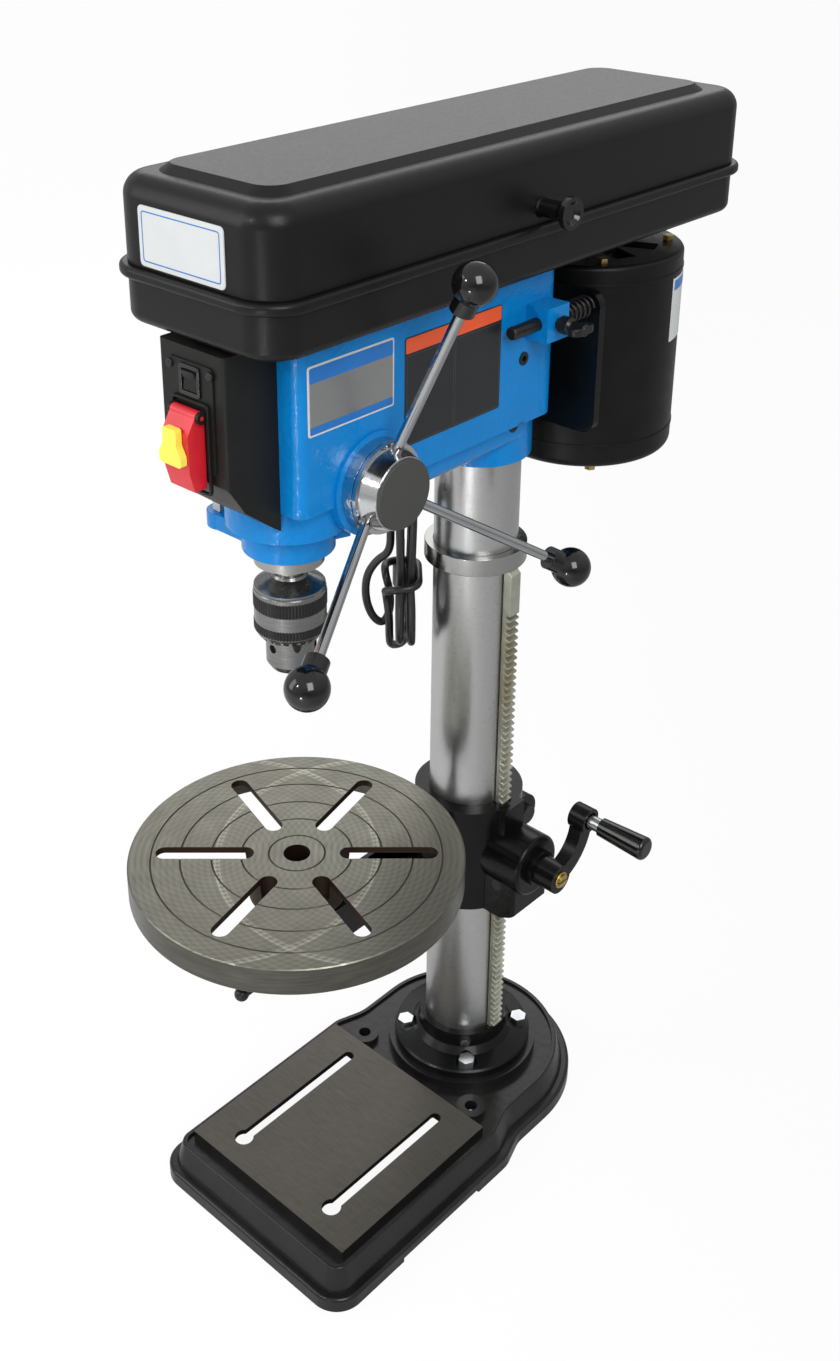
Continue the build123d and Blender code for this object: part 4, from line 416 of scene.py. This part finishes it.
# Looks by name, the look of each node, and the bevels that are wider than the rest
LOOKS = {
    "blue": blue_enamel("blue_enamel"),
    "head": head_look(),
    "satin": finish("satin_black", (0.0058, 0.0064, 0.0056), 0.34, grain=1700, depth=0.00012, mottle=0.1,
                    patch=150, Specular_IOR_Level=0.22),
    "gloss": black_casting("gloss_black"),
    "base": base_look(),
    "motor": finish("motor_black", MOTOR_PAINT, 0.38, grain=1100, depth=0.0001, mottle=0.2,
                    Specular_IOR_Level=0.16),
    "bell": motor_bell_look(),
    "plastic": finish("black_plastic", (0.0080, 0.0082, 0.0074), 0.46, grain=1300, depth=0.0001,
                      Specular_IOR_Level=0.22),
    "ball": finish("ball_black", (0.004, 0.004, 0.004), 0.10, patch=60, grain=70, depth=0.00005,
                   Specular_IOR_Level=0.5),
    "red": finish("red_plastic", (0.60, 0.014, 0.026), 0.34, grain=900, depth=0.0001, mottle=0.08),
    "yellow": finish("yellow_plastic", (0.93, 0.76, 0.085), 0.34, grain=900, depth=0.0001, mottle=0.05),
    "steel": brushed("ground_steel", STEEL, 0.25, (1, 1, 14)),
    "column": brushed("column_steel", (0.48, 0.485, 0.48), 0.31, (1, 1, 9), contrast=0.07, scale=260,
                      depth=0.000008),
    "rods": finish("rod_chrome", (0.38, 0.39, 0.40), 0.10, 1.0, mottle=0.05, grain=60, depth=0.00003),
    "turned": brushed("turned_steel", STEEL, 0.22, (1, 1, 18), contrast=0.1),
    "chuck": brushed("chuck_steel", (0.21, 0.215, 0.21), 0.24, (1, 1, 18), contrast=0.2),
    "zinc": finish("zinc", ZINC, 0.3, 1.0, grain=500, depth=0.00006),
    "screws": screw_look(),
    "hub": hub_look(),
    "dark": finish("dark_steel", (0.018, 0.018, 0.018), 0.34, 0.5, grain=600, depth=0.00006),
    "aluminium": finish("aluminium", (0.62, 0.62, 0.61), 0.36, 1.0, grain=800, depth=0.00006),
    "brass": finish("brass", BRASS, 0.3, 1.0, grain=500, depth=0.00006),
    "rubber": finish("rubber", (0.009, 0.009, 0.009), 0.36, grain=800, depth=0.00008),
    "plug": plug_look(),
    "belt": finish("belt_rubber", (0.02, 0.02, 0.02), 0.7, grain=1200, depth=0.0002),
    "thread": thread_look(),
    "table": table_look(),
    "rack": rack_look(),
    "crank": crank_look(),
    "knurl": finish("knurl_black", (0.010, 0.010, 0.010), 0.42, 0.4, grain=900, depth=0.0001),
    "badge": finish("badge_white", (0.58, 0.60, 0.60), 0.38, grain=500, depth=0.00003, mottle=0.03),
    "ink_blue": finish("ink_blue", (0.008, 0.15, 0.48), 0.34, grain=500, depth=0.00003, mottle=0.06),
    # Dark print, also used for the painted shade of the switch screws' recesses
    "ink_dark": finish("ink_dark", (0.010, 0.011, 0.013), 0.42, grain=900, depth=0.00004),
    "ink_orange": finish("ink_orange", (0.78, 0.095, 0.022), 0.4, grain=700, depth=0.00004, mottle=0.06),
    "ink_grey": finish("ink_grey", (0.05, 0.052, 0.055), 0.42, grain=700, depth=0.00004),
    "silver": brushed("plate_silver", (0.42, 0.43, 0.43), 0.36, (1, 1, 20), contrast=0.05),
}
NODE_LOOKS = {
    "base_casting": "base", "column_flange": "gloss", "column_tube": "column", "frame_screws": "screws",
    "rack_collar": "turned", "head_casting": "head", "belt_pan": "satin", "hinge_pins": "steel",
    "switch_box": "plastic", "switch_plate": "plastic", "spring_case": "satin", "return_spring": "dark",
    "sleeve_bearings": "steel", "front_belt": "belt", "motor_belt": "belt", "strain_relief": "rubber",
    "cord_lead": "rubber", "cord_hank": "rubber", "cord_plug": "plug", "belt_cover": "satin",
    "cover_knob": "ball", "idler_arm": "dark", "idler_pulley": "aluminium", "spindle_pulley": "aluminium",
    "motor_pulley": "aluminium", "quill": "turned", "quill_bearings": "steel", "depth_collar": "blue",
    "depth_rod": "thread", "depth_nuts": "zinc", "spindle": "turned", "chuck_body": "chuck",
    "chuck_sleeve": "chuck", "chuck_jaw_1": "dark", "chuck_jaw_2": "dark", "chuck_jaw_3": "dark",
    "pinion_shaft": "steel", "feed_hub": "hub", "feed_rods": "rods", "feed_knobs": "ball",
    "motor_shell": "motor", "motor_bells": "bell", "motor_plate": "gloss", "slide_rods": "dark",
    "motor_rotor": "steel", "tension_spring": "dark", "wing_screw": "dark", "switch_paddle": "red",
    "safety_key": "yellow", "light_rocker": "plastic", "table_rack": "rack", "table_bracket": "gloss",
    "worm_shaft": "steel", "crank_arm": "crank", "crank_grip": "ball", "lift_gear": "dark",
    "column_lock_lever": "dark", "table_arm": "gloss", "work_table": "table", "table_clamp_lever": "dark",
}
EDGE_WIDTHS = {
    "switch_paddle": 1.8, "safety_key": 1.2, "crank_arm": 1.6, "table_bracket": 1.5, "switch_box": 1.2,
}


# CAD meshes: welded, softly bevelled and shaded smooth by modifiers
def soften(piece, width):
    for polygon in piece.data.polygons:
        polygon.use_smooth = True
    weld = piece.modifiers.new("weld", "WELD")
    weld.merge_threshold = WELD_GAP * MM
    bevel = piece.modifiers.new("bevel", "BEVEL")
    bevel.width = width * MM
    bevel.segments = 2
    bevel.limit_method = "ANGLE"
    bevel.angle_limit = math.radians(BEVEL_ANGLE)
    bevel.use_clamp_overlap = True
    piece.modifiers.new("normals", "WEIGHTED_NORMAL").keep_sharp = True


for name, node in nodes.items():
    node.data.materials.clear()
    node.data.materials.append(LOOKS[NODE_LOOKS[name]].material)
    soften(node, EDGE_WIDTHS.get(name, SOLID_EDGE))


# Followers that stand for their solids: copies of the two belts and the spring
FRONT_BELT_BEND = (-158, -107)
MOTOR_BELT_BEND = (74, 14)


def follower(name, node):
    made = link(name, nodes[node].data.copy())
    soften(made, FOLLOWER_EDGE)
    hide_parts(node)
    return made


def belt(name, node, fixed_y, moving_y):
    made = follower(name, node)
    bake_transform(made)


def spring():
    made = follower("spring_coil", "tension_spring")
    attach(made, "frame")
    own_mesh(made)


belt("front_belt_loop", "front_belt", *FRONT_BELT_BEND)
belt("motor_belt_loop", "motor_belt", *MOTOR_BELT_BEND)
spring()


# Power cord: one spline from the gland through the hank to the plug, in millimetres
HANK = Vector((-30.9, -49.5, 0))
HANK_ENTRY = (-19.5, 5.5, 602)
CORD_RADIUS = 3.3
CORD_START = ((*GLAND[:2], 640), (*GLAND[:2], 620))
STRAND_HEIGHTS = (562, 545, 527, 517, 506)

# The strands spread out over these lengths above and under the tie, aside by this factor
TIE_Z = 527
FAN_UP = 35
FAN_DOWN = 21
FAN = 1.35
TURNS = (
    # half width at the tie and at the folds, place aside, top, bottom
    (12.9, 20.2, 3.5, 597, 471),
    (6.4, 13.4, 3.5, 586, 480),
    (6.4, 13.3, -3.5, 594, 479),
    (12.9, 20.2, -3.5, 601, 472),
)
CORD_TIE = (
    # along, aside, z: over the top, down outside, one loose loop, once round the bundle, down to the plug
    (-5, -12.5, 601), (-6, -12, 573), (-6, -12.5, 552), (-4, -23, 544), (-2, -31.5, 529), (0, -32.5, 508),
    (2, -27, 489), (4, -18, 481), (6, -12.2, 492), (6, -12.2, 510), (3, -16.5, 528), (23.5, -16.5, 529),
    (23.5, 10.2, 530), (0, 10.2, 530), (-23.5, 10.2, 529), (-23.5, -16.5, 526), (-6, -16, 517),
    (-9, -13, 496), (-5, -13, 476), (3, -12, 461),
)
CORD_TAIL = ((-42.6, -37.8, 456), (-53, -24.6, 456.5), (*PLUG, 468), (*PLUG, 483.5))


def hank_point(along, aside, z):
    place = HANK + ALONG * along + ASIDE * aside
    return (place.x, place.y, z)


def strand(side, turn, heights):
    tie_half, fold_half, aside = turn[:3]
    points = []
    for z in heights:
        reach = FAN_UP if z > TIE_Z else FAN_DOWN
        share = min(1.0, abs(z - TIE_Z) / reach)
        half = tie_half + (fold_half - tie_half) * share
        points.append(hank_point(side * half, aside * (1 + (FAN - 1) * share), z))
    return points


def hank_turns():
    route = []
    for index, turn in enumerate(TURNS):
        half, aside, top, bottom = turn[1:]
        route += strand(-1, turn, STRAND_HEIGHTS)
        route += [hank_point(side * half, aside * FAN, bottom) for side in (-1, 1)]
        route += strand(1, turn, reversed(STRAND_HEIGHTS))
        route.append(hank_point(half, aside * FAN, top))
        if index + 1 < len(TURNS):
            following = TURNS[index + 1]
            route.append(hank_point(-following[1], following[2] * FAN, top))
    return route


def cord_route():
    tie = [hank_point(*place) for place in CORD_TIE]
    return [*CORD_START, hank_point(*HANK_ENTRY), *hank_turns(), *tie, *CORD_TAIL]


def cord_object(points, radius):
    curve = bpy.data.curves.new("power_cord", "CURVE")
    curve.dimensions = "3D"
    curve.bevel_depth = radius * MM
    curve.bevel_resolution = 5
    curve.use_fill_caps = True
    spline = curve.splines.new("NURBS")
    spline.points.add(len(points) - 1)
    for control, place in zip(spline.points, points):
        control.co = (*(Vector(place) * MM), 1)
    spline.order_u = 3
    spline.use_endpoint_u = True
    spline.resolution_u = 8
    curve.materials.append(LOOKS["rubber"].material)
    return link("power_cord", curve)


cord = cord_object(cord_route(), CORD_RADIUS)
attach(cord, "frame")
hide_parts("cord_lead", "cord_hank")


# Small pieces in mesh code: sheets with rounded outlines and turned pieces
SIDES = {
    "front": ((1, 0, 0), (0, 0, 1), (0, -1, 0)),
    "right": ((0, 1, 0), (0, 0, 1), (1, 0, 0)),
    "left": ((0, -1, 0), (0, 0, 1), (-1, 0, 0)),
    "up": ((1, 0, 0), (0, 1, 0), (0, 0, 1)),
}


def facing(side, place):
    columns = [Vector(axis) for axis in SIDES[side]]
    turn = Matrix(columns).transposed().to_4x4()
    return Matrix.Translation(Vector(place)) @ turn


def facing_round(angle, radius, y, z):
    """A face on a standing cylinder, looking out at an angle from +X."""
    turn = Matrix.Rotation(math.radians(angle), 4, "Z")
    return Matrix.Translation((0, y, z)) @ turn @ facing("right", (radius, 0, 0))


def rounded_rect(half_u, half_v, corner, steps=6):
    points = []
    for quarter, (u, v) in enumerate(((1, 1), (-1, 1), (-1, -1), (1, -1))):
        for step in range(steps + 1):
            angle = math.pi / 2 * (quarter + step / steps)
            points.append((u * (half_u - corner) + corner * math.cos(angle),
                           v * (half_v - corner) + corner * math.sin(angle)))
    return points


def half_disc(radius, slot, side, steps=20):
    start = math.asin(slot / radius)
    turns = [start + (math.pi - 2 * start) * step / steps for step in range(steps + 1)]
    return [(radius * math.cos(turn), side * radius * math.sin(turn)) for turn in turns][::side]


def lobes(reach, waist, squeeze=0.95, steps=64):
    points = []
    for step in range(steps):
        turn = 2 * math.pi * step / steps
        radius = waist + (reach - waist) * math.cos(turn) ** 2
        points.append((radius * math.cos(turn), squeeze * radius * math.sin(turn)))
    return points


def piece(name, verts, faces, look, body, slot, edge):
    mesh = bpy.data.meshes.new(name)
    mesh.from_pydata([Vector(vert) * MM for vert in verts], [], faces)
    mesh.validate()
    mesh.materials.append(LOOKS[look].material)
    made = link(name, mesh)
    soften(made, edge)
    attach(made, body)
    return made


def sheet(name, place, outline, low, high, look, body, slot, edge, hole=None):
    count = len(outline)
    loops = [outline, outline] if hole is None else [outline, outline, hole, hole]
    levels = [low, high, high, low]
    verts = [place @ Vector((u, v, level)) for loop, level in zip(loops, levels) for u, v in loop]
    faces = []
    for ring in range(len(loops) if hole else 1):
        above = (ring + 1) % len(loops)
        for index in range(count):
            following = (index + 1) % count
            faces.append((ring * count + index, ring * count + following,
                          above * count + following, above * count + index))
    if hole is None:
        faces.append(tuple(range(count))[::-1])
        faces.append(tuple(range(count, 2 * count)))
    return piece(name, verts, faces, look, body, slot, edge)


def turned(name, place, profile, look, body, slot, edge=TURNED_EDGE, segments=48, ripple=0.0):
    verts = []
    for radius, level in profile:
        for index in range(segments):
            turn = 2 * math.pi * index / segments
            reach = radius - (ripple if index % 2 else 0.0)
            verts.append(place @ Vector((reach * math.cos(turn), reach * math.sin(turn), level)))
    faces = []
    for ring in range(len(profile) - 1):
        for index in range(segments):
            following = (index + 1) % segments
            faces.append((ring * segments + index, ring * segments + following,
                          (ring + 1) * segments + following, (ring + 1) * segments + index))
    faces.append(tuple(range(segments))[::-1])
    faces.append(tuple(range((len(profile) - 1) * segments, len(profile) * segments)))
    return piece(name, verts, faces, look, body, slot, edge)


def arc_sheet(name, angles, bottom, top, radius, thickness, look, steps=16):
    """A bent label on the motor's shell."""
    verts = []
    for reach in (radius, radius + thickness):
        for z in (bottom, top):
            for step in range(steps + 1):
                turn = math.radians(angles[0] + (angles[1] - angles[0]) * step / steps)
                verts.append((reach * math.cos(turn), MOTOR_Y + reach * math.sin(turn), z))
    row = steps + 1
    faces = []
    for step in range(steps):
        low, high = step, step + row
        faces.append((low + 2 * row, low + 1 + 2 * row, high + 1 + 2 * row, high + 2 * row))
        faces.append((low + 1, low, high, high + 1))
        faces.append((low, low + 1, low + 1 + 2 * row, low + 2 * row))
        faces.append((high + 1, high, high + 2 * row, high + 1 + 2 * row))
    faces.append((0, 2 * row, 3 * row, row))
    faces.append((steps, steps + row, steps + 3 * row, steps + 2 * row))
    return piece(name, verts, faces, look, "motor", "aluminium", LABEL_EDGE)


# Bare plates and labels: outlines are half width, half height and corner, levels lie over the face beneath
BADGE_MIDDLE = (-3.0, COVER_FRONT_Y, 854.0)
BADGE = (39.5, 19.5, 3.5)
BADGE_LEVELS = (SUNK, 1.0)
BADGE_BORDER = (36.3, 16.3, 2.2)
BADGE_INSIDE = (35.5, 15.5, 1.6)
BORDER_LEVELS = (0.9, 1.12)
PLATE_LEVELS = (SUNK, 0.5)
FIELD_LEVELS = (0.4, 0.62)
DATA_Y = -192.75
DATA_Z = 751.0
DATA_PLATE = (40.3, 24.3, 2.0)
DATA_FIELD = (38.8, 22.8, 1.2)
DATA_BAND_Z = 768.6
DATA_BAND = (38.8, 5.2, 1.2)
DATA_FOOT_Z = 730.8
DATA_FOOT = (38.8, 2.6, 1.0)
DATA_BAND_LEVELS = (0.5, 0.74)
CAUTION_Y = -90.5
CAUTION_Z = 731.5
CAUTION_PLATE = (51.0, 39.5, 2.0)
CAUTION_BAND_Z = 765.0
CAUTION_BAND = (50.2, 5.4, 1.2)
CAUTION_BAND_LEVELS = (0.4, 0.66)
CAUTION_COLUMNS_Y = (-115.6, -65.4)
CAUTION_COLUMNS_Z = 725.6
CAUTION_COLUMN = (24.3, 32.4, 1.0)
CAUTION_INSIDE = (23.9, 32.0, 0.8)
MOTOR_LABELS = (
    # name, angles, bottom, top, radius, thickness, look
    ("motor_label", (8, 76), 701, 753, MOTOR_RADIUS - 0.1, 0.5, "badge"),
    ("motor_label_head", (10, 74), 743, 751, MOTOR_RADIUS + 0.3, 0.25, "ink_blue"),
)


def plate(name, place, outline, levels, look, slot="aluminium", body="frame", edge=PRINT_EDGE, hole=None):
    inner = None if hole is None else rounded_rect(*hole)
    sheet(name, place, rounded_rect(*outline), *levels, look, body, slot, edge, inner)


def on_head(y, z):
    return facing("right", (HEAD_SIDE_X, y, z))


def badge():
    place = facing("front", BADGE_MIDDLE)
    plate("badge_plate", place, BADGE, BADGE_LEVELS, "badge", body="cover", edge=PLATE_EDGE)
    plate("badge_border", place, BADGE_BORDER, BORDER_LEVELS, "ink_blue", body="cover", hole=BADGE_INSIDE)


def data_plate():
    place = on_head(DATA_Y, DATA_Z)
    plate("data_plate", place, DATA_PLATE, PLATE_LEVELS, "badge", edge=PLATE_EDGE)
    plate("data_plate_field", place, DATA_FIELD, FIELD_LEVELS, "silver")
    plate("data_plate_band", on_head(DATA_Y, DATA_BAND_Z), DATA_BAND, DATA_BAND_LEVELS, "ink_blue")
    plate("data_plate_foot", on_head(DATA_Y, DATA_FOOT_Z), DATA_FOOT, DATA_BAND_LEVELS, "ink_blue")


def caution_plate():
    place = on_head(CAUTION_Y, CAUTION_Z)
    plate("caution_plate", place, CAUTION_PLATE, PLATE_LEVELS, "ink_dark", edge=PLATE_EDGE)
    plate("caution_band", on_head(CAUTION_Y, CAUTION_BAND_Z), CAUTION_BAND, CAUTION_BAND_LEVELS, "ink_orange")
    for index, y in enumerate(CAUTION_COLUMNS_Y):
        place = on_head(y, CAUTION_COLUMNS_Z)
        plate(f"caution_column_{index + 1}", place, CAUTION_COLUMN, FIELD_LEVELS, "ink_grey",
              hole=CAUTION_INSIDE)


def motor_label():
    for row in MOTOR_LABELS:
        arc_sheet(*row)


# Switch face
PADDLE_BEZEL = (17.6, 31.5, 3.0)
PADDLE_INSIDE = (15.6, 29.5, 1.6)
PADDLE_LEVELS = (SUNK, 2.2)
ROCKER_FRAME = (9.8, 10.4, 1.8)
ROCKER_INSIDE = (7.0, 7.5, 0.8)
ROCKER_LEVELS = (SUNK, 1.4)
# Dark crosses on the switch screws are painted shade that stands in for their recesses
RECESS_ARMS = (("a", (1.9, 0.42, 0.3)), ("b", (0.42, 1.9, 0.3)))
RECESS_LEVELS = (1.2, 1.68)


def on_switch(x, z):
    return facing("front", (x, SWITCH_FACE_Y, z))


def switch_face():
    plate("paddle_bezel", on_switch(0, PADDLE_Z), PADDLE_BEZEL, PADDLE_LEVELS, "plastic", "black_plastic",
          edge=0.5, hole=PADDLE_INSIDE)
    plate("rocker_frame", on_switch(0, ROCKER_Z), ROCKER_FRAME, ROCKER_LEVELS, "ball", "black_plastic",
          edge=0.4, hole=ROCKER_INSIDE)
    # Painted shade: a dark cross on each screw head in place of its recess
    for index, (x, z) in enumerate(SWITCH_SCREWS):
        for arm, outline in RECESS_ARMS:
            name = f"screw_recess_shade_{index + 1}{arm}"
            plate(name, on_switch(x, z), outline, RECESS_LEVELS, "ink_dark", "dark_steel")


# Chuck, motor, crank, wing, spring case and flange trim: profiles are radius and level
SLEEVE_BANDS = ((577.6, 589.5), (560.0, 568.0))
BAND_ROOT = SLEEVE_RADIUS - 0.6
BAND_SHOULDER = SLEEVE_RADIUS + 0.3
BAND_CREST = SLEEVE_RADIUS + 0.45
BAND_STEP = 0.5
BAND_SEGMENTS = 144
BAND_RIPPLE = 0.45
SEAM_HEIGHTS = (MOTOR_BOTTOM + 20, MOTOR_TOP - 15)
SEAM_ROOT = MOTOR_RADIUS - 1
SEAM_CREST = MOTOR_RADIUS + 0.6
SEAM_FOOT_HALF = 1.6
SEAM_CREST_HALF = 1.2
CRANK_SCREW = ((7.4, SUNK), (7.4, 1.0), (6.8, 1.6))
CRANK_HALF_RADIUS = 5.6
CRANK_SLOT_HALF = 0.9
CRANK_HALF_LEVELS = (1.4, 3.2)
WING_STEM = (
    (4.0, -4.6), (4.0, 2.6), (6.4, 3.0), (6.8, 4.2), (6.8, 11.0), (6.0, 12.2), (4.6, 13.4), (4.6, 24.0),
    (3.4, 25.6),
)
WING_BLADE_OUT = 20.0
WING_REACH = 12.0
WING_WAIST = 4.6
WING_HALF = 3.0
CASE_WASHER = ((13, SUNK), (13, 1.2), (12.2, 1.8))
CASE_NUT = ((9.6, 0.0), (10.0, 0.6), (10.0, 5.2), (9.2, 6.0))
CASE_NUT_LEVELS = (1.6, 8.0)
CASE_STUD = ((4.6, 1), (4.6, 16.5), (3.8, 17.6))
FLANGE_SCREW_ANGLE = -46.0
FLANGE_SCREW_Z = 60.5
FLANGE_SCREW = ((4.6, -1.5), (4.6, 0.9), (4.0, 1.5), (2.3, 1.5), (2.2, 0.2))


def chuck_bands():
    place = facing("up", (0, SPINDLE_Y, 0))
    for index, (low, high) in enumerate(SLEEVE_BANDS):
        profile = ((BAND_ROOT, low), (BAND_SHOULDER, low + BAND_STEP), (BAND_CREST, low + 2 * BAND_STEP),
                   (BAND_CREST, high - 2 * BAND_STEP), (BAND_SHOULDER, high - BAND_STEP), (BAND_ROOT, high))
        turned(f"chuck_band_{index + 1}", place, profile, "knurl", "sleeve", "dark_steel", edge=PRINT_EDGE,
               segments=BAND_SEGMENTS, ripple=BAND_RIPPLE)


def motor_seams():
    place = facing("up", (0, MOTOR_Y, 0))
    for index, z in enumerate(SEAM_HEIGHTS):
        profile = ((SEAM_ROOT, z - SEAM_FOOT_HALF), (SEAM_CREST, z - SEAM_CREST_HALF),
                   (SEAM_CREST, z + SEAM_CREST_HALF), (SEAM_ROOT, z + SEAM_FOOT_HALF))
        turned(f"motor_seam_{index + 1}", place, profile, "motor", "motor", "satin_black", edge=0.3,
               segments=96)


def crank_screw():
    place = facing("right", (CRANK_END_X, 0, CRANK_Z))
    turned("crank_screw", place, CRANK_SCREW, "brass", "crank", "dark_steel")
    for index, side in enumerate((1, -1)):
        outline = half_disc(CRANK_HALF_RADIUS, CRANK_SLOT_HALF, side)
        sheet(f"crank_screw_half_{index + 1}", place, outline, *CRANK_HALF_LEVELS, "brass", "crank",
              "dark_steel", edge=0.3)


def wing():
    x, y, z = WING_PLACE
    stem = turned("wing_stem", facing("right", WING_PLACE), WING_STEM, "dark", "wing", "dark_steel",
                  edge=0.3, segments=36)
    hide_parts("wing_screw")
    blade = facing("up", (x + WING_BLADE_OUT, y, z)) @ Matrix.Rotation(math.radians(90), 4, "Z")
    outline = lobes(WING_REACH, WING_WAIST)
    sheet("wing_blade", blade, outline, -WING_HALF, WING_HALF, "dark", "wing", "dark_steel", edge=1.2)


def spring_case_nuts():
    place = facing("left", (SPRING_CASE_X, FEED_Y, FEED_Z))
    turned("spring_case_washer", place, CASE_WASHER, "zinc", "frame", "bright_steel")
    for index, level in enumerate(CASE_NUT_LEVELS):
        profile = [(radius, level + step) for radius, step in CASE_NUT]
        turned(f"spring_case_nut_{index + 1}", place, profile, "zinc", "frame", "bright_steel", edge=0.3,
               segments=6)
    turned("spring_case_stud", place, CASE_STUD, "thread", "frame", "bright_steel", segments=32)


def flange_screw():
    place = facing_round(FLANGE_SCREW_ANGLE, COLLAR_RADIUS, 0, FLANGE_SCREW_Z)
    turned("flange_set_screw", place, FLANGE_SCREW, "dark", "frame", "dark_steel", edge=0.15,
           segments=36)


badge()
data_plate()
caution_plate()
motor_label()
switch_face()
chuck_bands()
motor_seams()
crank_screw()
wing()
spring_case_nuts()
flange_screw()


# Floor, background and studio light
FLOOR_HALF = 40
# Painted light on the floor: its colour falls off from the left to the right
FLOOR_LIT_LEFT = (0.72, 0.72, 0.72)
FLOOR_SHADED_RIGHT = (0.40, 0.40, 0.40)
FLOOR_WHITE = 1.03
FLOOR_WHITE_SHARE = 0.90
SKY_LOW = 0.40
SKY_OVERHEAD = 0.80
LAMPS = (
    # name, place, target, power, width, height
    ("key", (1.9, -1.1, 2.2), (0, -0.1, 0.5), 42, 1.2, 1.6),
    ("fill", (-1.5, -2.0, 1.5), (0, -0.1, 0.5), 16, 1.0, 1.8),
    ("flash", (-0.25, -2.1, 1.75), (0, -0.2, 0.7), 7, 0.2, 0.2),
    ("low", (0.55, -1.75, 0.14), (0, -0.25, 0.65), 3.2, 0.15, 0.15),
    ("back", (-1.7, 1.8, 1.9), (0, 0, 0.8), 12, 2.2, 1.2),
)


def floor():
    """Paper with painted light, lighter at the left and shaded to the right where metals reflect it, and
    mostly plain white where the camera sees it.
    """
    mesh = bpy.data.meshes.new("floor")
    corners = [(u * FLOOR_HALF, v * FLOOR_HALF, 0) for u, v in ((-1, -1), (1, -1), (1, 1), (-1, 1))]
    mesh.from_pydata(corners, [], [(0, 1, 2, 3)])
    made = link("floor", mesh)
    look = Look("floor", FLOOR_LIT_LEFT, 0.9)
    painted_falloff = look.mix(look.between(look.along(look.coords, ASIDE), -0.35, 0.35), FLOOR_LIT_LEFT, FLOOR_SHADED_RIGHT)
    look.set("Base Color", look.mix(look.times(look.noise(3, 2), 0.1), painted_falloff, WHITE))
    seen = look.times(look.add("LightPath").outputs["Is Camera Ray"], FLOOR_WHITE_SHARE)
    look.camera_white(seen, look.shader, look.add("Emission", WHITE, FLOOR_WHITE), "Material Output")
    mesh.materials.append(look.material)


def lamp(name, place, target, power, width, height):
    data = bpy.data.lights.new(name, "AREA")
    data.shape = "RECTANGLE"
    data.size = width
    data.size_y = height
    data.energy = power
    made = link(name, data)
    made.location = place
    made.rotation_euler = (Vector(target) - Vector(place)).to_track_quat("-Z", "Y").to_euler()


def surroundings():
    """White to the camera; to all else a soft sky, dark low down in front, brightest at the left."""
    world = bpy.data.worlds.new("studio")
    bpy.context.scene.world = world
    world.use_nodes = True
    graph = Graph(world.node_tree)
    way = graph.add("TexCoord").outputs["Generated"]
    height = graph.add("SeparateXYZ", way).outputs[2]
    aside = graph.along(way, ASIDE)
    left = graph.between(aside, -0.15, -0.9, 0.0, SKY_LOW * 1.5)
    right = graph.between(aside, 0.2, 0.95, SKY_LOW * 0.45, SKY_LOW * 1.1)
    level = graph.mix_value(graph.between(height, 0.05, 0.65), graph.math("ADD", left, right), SKY_OVERHEAD)
    ambient = world.node_tree.nodes["Background"]
    graph.feed(ambient.inputs["Strength"], level)
    graph.feed(ambient.inputs["Color"], WHITE)
    seen = graph.add("LightPath").outputs["Is Camera Ray"]
    graph.camera_white(seen, ambient, graph.add("Background", WHITE, 1.0), "World Output")


floor()
surroundings()
for row in LAMPS:
    lamp(*row)
bpy.context.scene.view_settings.view_transform = "Standard"
